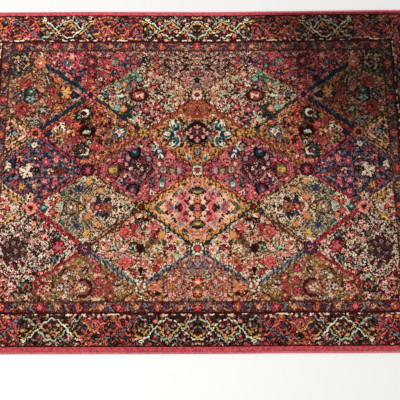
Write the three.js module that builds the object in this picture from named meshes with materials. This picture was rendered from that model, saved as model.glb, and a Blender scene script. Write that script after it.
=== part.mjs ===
// A pile rug with a panelled garden pattern, lying flat: one woven body, and the four
// runs of overcast yarn that bind its edges.
//
// Units are millimetres. +X runs along the rug, +Y across it and +Z up. The origin is the
// centre of the rug on the surface that it lies on.
import * as THREE from "three";

// Driving dimensions of the rug
const RUG_LENGTH = 1820;
const RUG_WIDTH = 1326;
const CORNER_RADIUS = 20;
const PILE_TOP = 9;

// Ground weave: its bare selvedge is the tongue that the edge yarn is wrapped round
const SELVEDGE_BOTTOM = 1.5;
const SELVEDGE_TOP = 3.7;
const SELVEDGE_INSET = 3.3;

// Pile: it stands up just inside the edge yarn, with a rounded shoulder
const PILE_INSET = 9.3;
const PILE_SHOULDER_BOTTOM = 7.4;
const PILE_SHOULDER_TOP = 8.7;
const PILE_SHOULDER_INSET = 11.5;
const PILE_FLAT_INSET = 15;

// Edge yarn: a round-backed wrap with a slot for the selvedge
const WRAP_WIDTH = 9;
const WRAP_HEIGHT = 7.2;
const FIT_GAP = 0.3;
const WRAP_BACK = [
  { insetShare: 0.24, heightShare: 0 },
  { insetShare: 0.08, heightShare: 0.1 },
  { insetShare: 0, heightShare: 0.3 },
  { insetShare: 0, heightShare: 0.62 },
  { insetShare: 0.12, heightShare: 0.86 },
  { insetShare: 0.36, heightShare: 1 },
  { insetShare: 0.7, heightShare: 1 },
  { insetShare: 1, heightShare: 0.86 },
];

// Stations along the outline
const SIDE_STEP = 90;
const CORNER_STEPS = 4;

// How far the two long edges wander from straight, towards +Y, at places along the rug
const EDGE_WANDER = [
  { along: -910, farEdge: 0.2, nearEdge: 1.6 },
  { along: -700, farEdge: 1.2, nearEdge: 1.0 },
  { along: -450, farEdge: 2.4, nearEdge: 0.5 },
  { along: 100, farEdge: 0.0, nearEdge: -0.4 },
  { along: 310, farEdge: 2.8, nearEdge: 1.2 },
  { along: 560, farEdge: 5.4, nearEdge: 0.6 },
  { along: 740, farEdge: 8.0, nearEdge: 1.2 },
  { along: 910, farEdge: 7.6, nearEdge: 1.6 },
];

// Four corners in order round the rug, each with the signs of its quarter and its first angle
const CORNERS = [
  { signX: 1, signY: 1, startAngle: 0 },
  { signX: -1, signY: 1, startAngle: Math.PI / 2 },
  { signX: -1, signY: -1, startAngle: Math.PI },
  { signX: 1, signY: -1, startAngle: (3 * Math.PI) / 2 },
];

const HALF_LENGTH = RUG_LENGTH / 2;
const HALF_WIDTH = RUG_WIDTH / 2;

// The wander of one edge at a place along the rug, eased between the rows of the table.
function wanderOf(edge, along) {
  const last = EDGE_WANDER.length - 1;
  const place = THREE.MathUtils.clamp(along, EDGE_WANDER[0].along, EDGE_WANDER[last].along);
  let row = 0;
  while (row < last - 1 && place > EDGE_WANDER[row + 1].along) row += 1;
  const from = EDGE_WANDER[row];
  const to = EDGE_WANDER[row + 1];
  const eased = THREE.MathUtils.smoothstep(place, from.along, to.along);
  return THREE.MathUtils.lerp(from[edge], to[edge], eased);
}

// Half the sum of the two edges' furthest wanders, which keeps the origin mid-box.
const WANDER_CENTRE =
  (Math.max(...EDGE_WANDER.map((row) => row.farEdge)) +
    Math.min(...EDGE_WANDER.map((row) => row.nearEdge))) /
  2;

// Moves a point of the straight rug to its place on the uneven one.
function laidPoint(x, y) {
  const across = (y + HALF_WIDTH) / RUG_WIDTH;
  const shift = THREE.MathUtils.lerp(wanderOf("nearEdge", x), wanderOf("farEdge", x), across);
  return new THREE.Vector2(x, y + shift - WANDER_CENTRE);
}

// The point of one corner at an angle, at a distance in from the rug's outline.
function cornerPoint(corner, angle, inset) {
  const radius = CORNER_RADIUS - inset;
  const centreX = corner.signX * (HALF_LENGTH - CORNER_RADIUS);
  const centreY = corner.signY * (HALF_WIDTH - CORNER_RADIUS);
  return laidPoint(centreX + radius * Math.cos(angle), centreY + radius * Math.sin(angle));
}

// The points between the end of one corner and the start of the next.
function sidePoints(corner, nextCorner, inset) {
  const alongX = corner.signY === nextCorner.signY;
  const sideLength = (alongX ? RUG_LENGTH : RUG_WIDTH) - 2 * CORNER_RADIUS;
  const steps = Math.round(sideLength / SIDE_STEP);
  const points = [];
  for (let i = 1; i < steps; i += 1) {
    const place = sideLength * (i / steps - 0.5);
    if (alongX) {
      points.push(laidPoint(-corner.signX * place, corner.signY * (HALF_WIDTH - inset)));
    } else {
      points.push(laidPoint(corner.signX * (HALF_LENGTH - inset), -corner.signY * place));
    }
  }
  return points;
}

// The angles of the stations of a quarter corner, or of a part of it.
function cornerAngles(corner, fromShare, toShare) {
  const steps = Math.round(CORNER_STEPS * (toShare - fromShare));
  return Array.from({ length: steps + 1 }, (unused, i) => {
    const share = fromShare + ((toShare - fromShare) * i) / steps;
    return corner.startAngle + (share * Math.PI) / 2;
  });
}

// The whole outline, counterclockwise seen from above.
function outline(inset) {
  return CORNERS.flatMap((corner, i) => [
    ...cornerAngles(corner, 0, 1).map((angle) => cornerPoint(corner, angle, inset)),
    ...sidePoints(corner, CORNERS[(i + 1) % CORNERS.length], inset),
  ]);
}

// One side's outline, from the middle of one corner to the middle of the next, less half a
// fitting gap at each end.
function sideOutline(index, inset) {
  const corner = CORNERS[index];
  const nextCorner = CORNERS[(index + 1) % CORNERS.length];
  const innerRadius = CORNER_RADIUS - WRAP_WIDTH;
  const trim = FIT_GAP / 2 / innerRadius / (Math.PI / 2);
  return [
    ...cornerAngles(corner, 0.5 + trim, 1).map((angle) => cornerPoint(corner, angle, inset)),
    ...sidePoints(corner, nextCorner, inset),
    ...cornerAngles(nextCorner, 0, 0.5 - trim).map((angle) => cornerPoint(nextCorner, angle, inset)),
  ];
}

// Joins rows of points into one closed surface. Each row has the same number of points. The
// rows run in a closed loop where loopRows is true, and so do the points of a row where
// loopPoints is true; the ends that stay open are capped with the flat faces given.
function loftedGeometry(rows, { loopRows, loopPoints, caps }) {
  const count = rows[0].length;
  const index = [];
  const rowSteps = loopRows ? rows.length : rows.length - 1;
  const pointSteps = loopPoints ? count : count - 1;
  for (let r = 0; r < rowSteps; r += 1) {
    for (let p = 0; p < pointSteps; p += 1) {
      const a = r * count + p;
      const b = r * count + ((p + 1) % count);
      const c = ((r + 1) % rows.length) * count + ((p + 1) % count);
      const d = ((r + 1) % rows.length) * count + p;
      index.push(a, b, c, a, c, d);
    }
  }
  caps.forEach(({ faces, corners, flip }) => {
    faces.forEach(([a, b, c]) => {
      const ids = [corners[a], corners[b], corners[c]];
      index.push(...(flip ? ids.reverse() : ids));
    });
  });
  const geometry = new THREE.BufferGeometry();
  geometry.setAttribute(
    "position",
    new THREE.Float32BufferAttribute(rows.flat().flatMap((point) => point.toArray()), 3),
  );
  geometry.setIndex(index);
  geometry.computeVertexNormals();
  return geometry;
}

// Ground weave and pile as one body: rings of the outline, from the underside's rim round the
// selvedge tongue and up over the pile's shoulder.
function rugBodyGeometry() {
  const profile = [
    { inset: PILE_INSET, height: 0 },
    { inset: PILE_INSET, height: SELVEDGE_BOTTOM },
    { inset: SELVEDGE_INSET, height: SELVEDGE_BOTTOM },
    { inset: SELVEDGE_INSET, height: SELVEDGE_TOP },
    { inset: PILE_INSET, height: SELVEDGE_TOP },
    { inset: PILE_INSET, height: PILE_SHOULDER_BOTTOM },
    { inset: PILE_SHOULDER_INSET, height: PILE_SHOULDER_TOP },
    { inset: PILE_FLAT_INSET, height: PILE_TOP },
  ];
  const rings = profile.map(({ inset, height }) =>
    outline(inset).map((point) => new THREE.Vector3(point.x, point.y, height)),
  );
  const ringSize = rings[0].length;
  const capFaces = (inset) => THREE.ShapeUtils.triangulateShape(outline(inset), []);
  const ringIds = (ring) => Array.from({ length: ringSize }, (unused, i) => ring * ringSize + i);
  return loftedGeometry(rings, {
    loopRows: false,
    loopPoints: true,
    caps: [
      { faces: capFaces(PILE_INSET), corners: ringIds(0), flip: true },
      { faces: capFaces(PILE_FLAT_INSET), corners: ringIds(rings.length - 1), flip: false },
    ],
  });
}

// The wrap's cross-section, from its underside up over its round back and in round the slot
// that the selvedge lies in.
function wrapSection() {
  const slotInset = SELVEDGE_INSET - FIT_GAP;
  const slotTop = SELVEDGE_TOP + FIT_GAP;
  const slotBottom = SELVEDGE_BOTTOM - FIT_GAP;
  const back = WRAP_BACK.map(({ insetShare, heightShare }) => ({
    inset: insetShare * WRAP_WIDTH,
    height: heightShare * WRAP_HEIGHT,
  }));
  return [
    ...back,
    { inset: WRAP_WIDTH, height: slotTop },
    { inset: slotInset, height: slotTop },
    { inset: slotInset, height: slotBottom },
    { inset: WRAP_WIDTH, height: slotBottom },
    { inset: WRAP_WIDTH, height: 0 },
  ];
}

// One side's run of overcast edge yarn.
function edgeBindingGeometry(index) {
  const section = wrapSection();
  const runs = section.map(({ inset, height }) =>
    sideOutline(index, inset).map((point) => new THREE.Vector3(point.x, point.y, height)),
  );
  const runSize = runs[0].length;
  const flatSection = section.map(({ inset, height }) => new THREE.Vector2(inset, height));
  const capFaces = THREE.ShapeUtils.triangulateShape(flatSection, []);
  return loftedGeometry(runs, {
    loopRows: true,
    loopPoints: false,
    caps: [
      { faces: capFaces, corners: section.map((unused, i) => i * runSize), flip: true },
      { faces: capFaces, corners: section.map((unused, i) => (i + 1) * runSize - 1), flip: false },
    ],
  });
}

const pileMaterial = new THREE.MeshStandardMaterial({
  color: 0x8a5a52,
  roughness: 0.95,
  metalness: 0,
});
const edgeYarnMaterial = new THREE.MeshStandardMaterial({
  color: 0xc4606a,
  roughness: 0.85,
  metalness: 0,
});

function namedMesh(name, geometry, material) {
  const mesh = new THREE.Mesh(geometry, material);
  mesh.name = name;
  return mesh;
}

const rug = new THREE.Group();
rug.add(namedMesh("rug_body", rugBodyGeometry(), pileMaterial));
["far", "left", "near", "right"].forEach((side, index) => {
  rug.add(namedMesh("edge_binding_" + side, edgeBindingGeometry(index), edgeYarnMaterial));
});

export default rug;
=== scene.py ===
import math

import bmesh
import bpy
import numpy as np
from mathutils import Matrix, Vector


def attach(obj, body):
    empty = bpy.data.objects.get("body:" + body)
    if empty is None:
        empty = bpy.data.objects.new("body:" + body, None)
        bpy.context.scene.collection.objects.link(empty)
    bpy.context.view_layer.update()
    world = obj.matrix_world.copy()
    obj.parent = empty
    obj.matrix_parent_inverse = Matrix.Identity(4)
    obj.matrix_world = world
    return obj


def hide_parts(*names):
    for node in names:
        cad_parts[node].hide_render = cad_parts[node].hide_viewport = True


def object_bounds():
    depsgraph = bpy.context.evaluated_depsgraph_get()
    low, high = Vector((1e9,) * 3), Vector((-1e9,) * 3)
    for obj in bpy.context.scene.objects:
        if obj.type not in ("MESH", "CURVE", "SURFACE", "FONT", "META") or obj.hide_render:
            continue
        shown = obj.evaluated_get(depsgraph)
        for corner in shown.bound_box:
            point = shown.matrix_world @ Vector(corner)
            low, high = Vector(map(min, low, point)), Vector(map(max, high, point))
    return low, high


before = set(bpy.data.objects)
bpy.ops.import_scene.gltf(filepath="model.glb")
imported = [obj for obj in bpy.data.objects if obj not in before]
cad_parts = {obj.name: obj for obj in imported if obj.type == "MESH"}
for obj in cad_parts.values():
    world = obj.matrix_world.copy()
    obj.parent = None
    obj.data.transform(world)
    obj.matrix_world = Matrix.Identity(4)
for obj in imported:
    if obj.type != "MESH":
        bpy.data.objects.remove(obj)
CAD_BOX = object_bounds()

bl_info = {
    "name": "Garden Rug",
    "version": (1, 0, 0),
    "blender": (4, 5, 0),
    "location": "3D View > Sidebar > Rug",
    "description": "Weaves a panelled garden rug, overcasts its edges and sets its stage",
    "category": "Object",
}

# Real sizes of the rug, as its solids have them
RUG_LENGTH = CAD_BOX[1][0] - CAD_BOX[0][0]
RUG_WIDTH = 1.326
CORNER_RADIUS = 0.020
SELVEDGE_INSET = 0.0033
SELVEDGE_BOTTOM = 0.0015
SELVEDGE_TOP = 0.0037
PILE_INSET = 0.0093
PILE_TOP = 0.009
PILE_FLAT_INSET = 0.015
WRAP_WIDTH = 0.009
WRAP_HEIGHT = 0.0072
HALF_LENGTH = RUG_LENGTH / 2
HALF_WIDTH = RUG_WIDTH / 2

# The chart: one face of the pile's mesh holds a block of knots, each by the number of its
# yarn, which is below the limit
BLOCK = 4
YARN_LIMIT = 32

# Places and sizes in the chart are in mm, and its columns and rows are counts of knots. The
# borders are placed in from an outline of the first two half-sizes
RUG_HALF_LENGTH = 910
RUG_HALF_WIDTH = 660
FIELD_HALF_LENGTH = 737
FIELD_HALF_WIDTH = 484
PANEL_HALF_LENGTH = 206.7
PANEL_DEPTH = 119.4
PANEL_RIM = -0.7
CHART_HALF_LENGTH = 900.7
CHART_WIDTH = 1307.4
CHART_NEAR_EDGE = -656.7
CHART_COLUMNS = 450
CHART_ROWS = 656
KNOT_ALONG = CHART_HALF_LENGTH / CHART_COLUMNS
KNOT_ACROSS = CHART_WIDTH / CHART_ROWS
TILE_KNOT = 2.0

# Vines and buds of the grounds, bands, outlines and scattered knots. Spacings, widths and
# starts are in mm, and levels are those of the grain, from -1 to 1. The step is one of
# brightness, out of 255
GRAIN_SIZE = 128
GRAIN_START = 400
SET_SPACING = 21.0
VINE_SPACING = 8.5
VINE_LEVEL = 0.14
VINE_EDGE = 0.34
BUD_LEVEL = 0.5
BAND_GRAIN_START = 500
BAND_SHARE = 0.85
BEAD_PITCH = 13
BEAD_LEVEL = -0.62
WARP = 2.4
SPECKLE_DARK = 0.55
SPECKLE_PALE = 0.78
OUTLINE_LEVEL = 0.28
OUTLINE_STEP = 62
FLORET_STEP_ALONG = 19.0
FLORET_STEP_ACROSS = 18.0
FLORETS = ("flower5", "flower5", "leaf", "flower4", "flower6", "curl")
BORDER_FLORETS = ("flower5", "leaf", "flower4", "curl")
MOTIF_MARGIN = 1.15

# Where the painted shade of the far right corner and the painted sheen by the far edge change, in metres,
# and the span of most values of a noise
PAINTED_SHADE_SKEW = 0.45
PAINTED_SHADE_ALONG = (0.385, 0.685)
PAINTED_SHADE_ACROSS = (-0.1, 0.35)
PAINTED_SHADE_NEAR_SHARE = 0.27
PAINTED_SHEEN_FAR = (0.44, 0.6)
NOISE_SPAN = (0.3, 0.7)

# The runs of edge yarn, each from the middle of one corner to the middle of the next
SIDES = ("far", "left", "near", "right")
CORNER_SIGNS = ((1, 1), (-1, 1), (-1, -1), (1, -1))
HALF_FIT_GAP = 0.00015
EDGE_STEP = 0.03
OVERCAST_INPUTS = (
    ("Geometry", "Geometry"), ("Width", "Float"), ("Height", "Float"),
    ("Yarn radius", "Float"), ("Turn spacing", "Float"), ("Slant", "Float"),
    ("Seed", "Int"), ("Material", "Material"),
)

# Stage
FLOOR_HALF_SIZE = 6.0
LAMP_SIZE = (3.0, 2.0)
LAMP_PLACE = (-1.2, -0.3, 2.8)
LAMP_TURN = (-6.0, -22.0, 0.0)
CAMERA_LENS = 36.54
CAMERA_PLACE = (0.00697, -0.3703, 1.5049)
CAMERA_TURN = (9.610, -0.070, -0.211)

# Yarns: red, green and blue from 0 to 255
YARNS = """
ink 24 11 9
maroon 66 17 18
wine 110 32 42
crimson 156 44 50
rose 190 80 86
pink 212 132 120
blush 226 176 148
cream 232 206 180
ivory 216 210 184
sand 198 158 118
gold 202 150 78
amber 206 134 78
coral 206 106 80
rust 156 74 50
brown 114 76 60
umber 58 36 27
olive 112 92 54
moss 74 72 44
bottle 30 42 36
teal 56 96 92
aqua 120 156 140
mint 162 174 150
slate 106 116 122
navy 32 38 56
indigo 50 46 66
plum 86 44 56
mauve 150 108 106
lilac 156 140 140
taupe 140 118 102
yellow 226 182 88
magenta 172 56 82
brick 134 56 50
"""
YARN_ROWS = [row.split() for row in YARNS.split("\n") if row]
YARN_NUMBER = {row[0]: number for number, row in enumerate(YARN_ROWS)}

# For each yarn, the ones that its darkest and palest knots are tied from
SHADES = """
ink ink plum
maroon ink crimson
wine ink rose
crimson maroon pink
rose wine blush
pink crimson cream
blush brown cream
cream brown ivory
ivory taupe cream
sand umber cream
gold umber yellow
amber brown yellow
coral maroon blush
rust umber gold
brown umber sand
umber ink taupe
olive umber sand
moss ink mint
bottle ink aqua
teal ink mint
aqua bottle ivory
mint teal ivory
slate navy mint
navy ink slate
indigo ink lilac
plum ink mauve
mauve plum blush
lilac indigo ivory
taupe umber ivory
yellow rust ivory
magenta plum pink
brick maroon coral
"""

# Panel rows across the rug: where the lattice's corners lie
ROW_PLACES = {
    -5: -734, -4: -588, -3: -434, -2: -296, -1: -144, 0: -2,
    1: 146, 2: 299, 3: 438, 4: 588, 5: 734,
}

# Ground of each panel, by its column and row, and the sets of yarns that its small
# vines and florets take
GROUNDS = {
    (0, 1): ("amber", "umber gold sand / maroon rust coral / umber amber sand / maroon brown gold"),
    (2, 1): (
        "brick",
        "maroon coral gold / umber rust coral / rust amber blush / "
        "ink moss coral / brown olive gold",
    ),
    (4, 1): ("umber", "maroon pink gold / umber mauve blush / ink gold rust"),
    (1, 0): (
        "rose",
        "plum magenta pink / ink indigo mauve / wine magenta rose / "
        "maroon rose pink / umber taupe rose",
    ),
    (3, 0): ("navy", "indigo slate rose / ink navy mauve / navy slate taupe / plum navy pink"),
    (0, -1): ("sand", "brown blush gold / mauve pink rose / taupe cream blush / umber blush sand"),
    (2, -1): (
        "cream",
        "umber sand cream / moss blush cream / umber gold blush / "
        "brown taupe ivory / olive blush cream",
    ),
    (4, -1): ("blush", "maroon rose blush / olive sand blush / wine pink cream"),
    (1, 2): (
        "sand",
        "brown cream mint / maroon coral cream / umber ivory rose / "
        "umber ivory sand / maroon ivory mint",
    ),
    (3, 2): (
        "brown",
        "umber mauve sand / maroon coral sand / umber sand rose / "
        "moss blush sand / brick amber taupe",
    ),
    (0, 3): ("taupe", "maroon mauve blush / umber mauve cream / ink rose pink / ink maroon blush"),
    (2, 3): ("crimson", "wine rose pink / plum mauve pink / maroon rose blush / navy mauve slate"),
    (4, 3): ("bottle", "ink teal gold / maroon navy brick"),
    (1, -2): (
        "ivory",
        "maroon rose gold / crimson cream mint / moss gold sand / "
        "brown sand coral / umber mint rust",
    ),
    (3, -2): (
        "cream",
        "ink coral ivory / bottle coral slate / maroon rose cream / "
        "umber plum sand / umber mint ivory",
    ),
    (0, -3): ("rust", "plum rust blush / slate sand pink / brown gold coral / maroon coral blush"),
    (2, -3): ("olive", "brown sand blush / brick olive gold / moss sand rose"),
    (4, -3): ("maroon", "ink rose pink / umber coral sand / wine mauve blush"),
    (1, 4): ("taupe", "maroon rose blush / umber mauve sand / plum pink cream"),
    (3, 4): ("brown", "maroon amber pink / umber rose sand / plum mauve blush"),
    (1, -4): ("rust", "umber coral gold / maroon rose blush / olive sand gold"),
    (3, -4): ("umber", "ink rust sand / maroon rose gold / olive taupe sand"),
}

# Bands inside each panel's four edges, from the edge inwards: yarn and width in mm
BANDS = {
    (0, 1): (
        "rust 10 crimson 4 amber 3/rust 10 crimson 4 amber 3/"
        "rust 8 coral 5 gold 4/rust 8 coral 5 gold 4"
    ),
    (2, 1): (
        "navy 8 amber 6 brown 2/navy 9 amber 4 crimson 10 coral 3/"
        "crimson 7 coral 6 olive 4/plum 6 magenta 5 pink 2"
    ),
    (4, 1): "umber 3 gold 5 pink 3/umber 2/umber 3 gold 5 pink 3/umber 2",
    (1, 0): (
        "maroon 2 rose 3 pink 2/umber 3 olive 7/"
        "maroon 2 crimson 6 gold 4/maroon 2 olive 5 pink 3"
    ),
    (3, 0): "plum 2 magenta 7 navy 5/indigo 6 gold 5/plum 6 rose 5 navy 3/maroon 3 gold 7 cream 4",
    (0, -1): (
        "umber 2 amber 8 gold 5/umber 2 amber 8 gold 5/"
        "bottle 3 amber 8 gold 4/bottle 3 amber 8 gold 4"
    ),
    (2, -1): (
        "maroon 2 amber 5 blush 3/wine 2 crimson 5 pink 3/"
        "umber 2 amber 6 navy 5/maroon 2 crimson 8 rose 4"
    ),
    (4, -1): "gold 7 cream 3/umber 2/brown 4 sand 4/umber 2",
    (1, 2): "umber 2 amber 5 cream 3/navy 4 amber 6 aqua 3/crimson 5 cream 5 rust 3/navy 8 gold 6",
    (3, 2): "navy 9 slate 4/umber 3 olive 4/ink 2 navy 10 slate 3/umber 3 olive 4",
    (0, 3): "umber 2/umber 2/brown 3 amber 6/brown 3 amber 6",
    (2, 3): "umber 2/umber 2/maroon 2 pink 3 wine 4/ink 3 navy 8 teal 4",
    (4, 3): "ink 3/umber 2/maroon 3 gold 2/umber 2",
    (1, -2): "bottle 7 mint 3/umber 2 plum 6 amber 5/slate 9 ivory 3/slate 10 mint 3",
    (3, -2): "crimson 9 blush 3/maroon 3 cream 3/crimson 8 blush 4/maroon 3 cream 3",
    (0, -3): "indigo 3 mauve 5 slate 4/indigo 3 mauve 5 slate 4/umber 2/umber 2",
    (2, -3): (
        "indigo 3 slate 6 sand 5 brown 4/maroon 2 crimson 8 pink 4/"
        "wine 6 olive 4/maroon 2 crimson 7"
    ),
    (4, -3): "pink 5 cream 3/umber 2/umber 2/umber 2",
    (1, 4): "umber 2/umber 2",
    (3, 4): "umber 2/umber 2",
    (1, -4): "umber 2/umber 2",
    (3, -4): "umber 2/umber 2",
}

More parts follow.
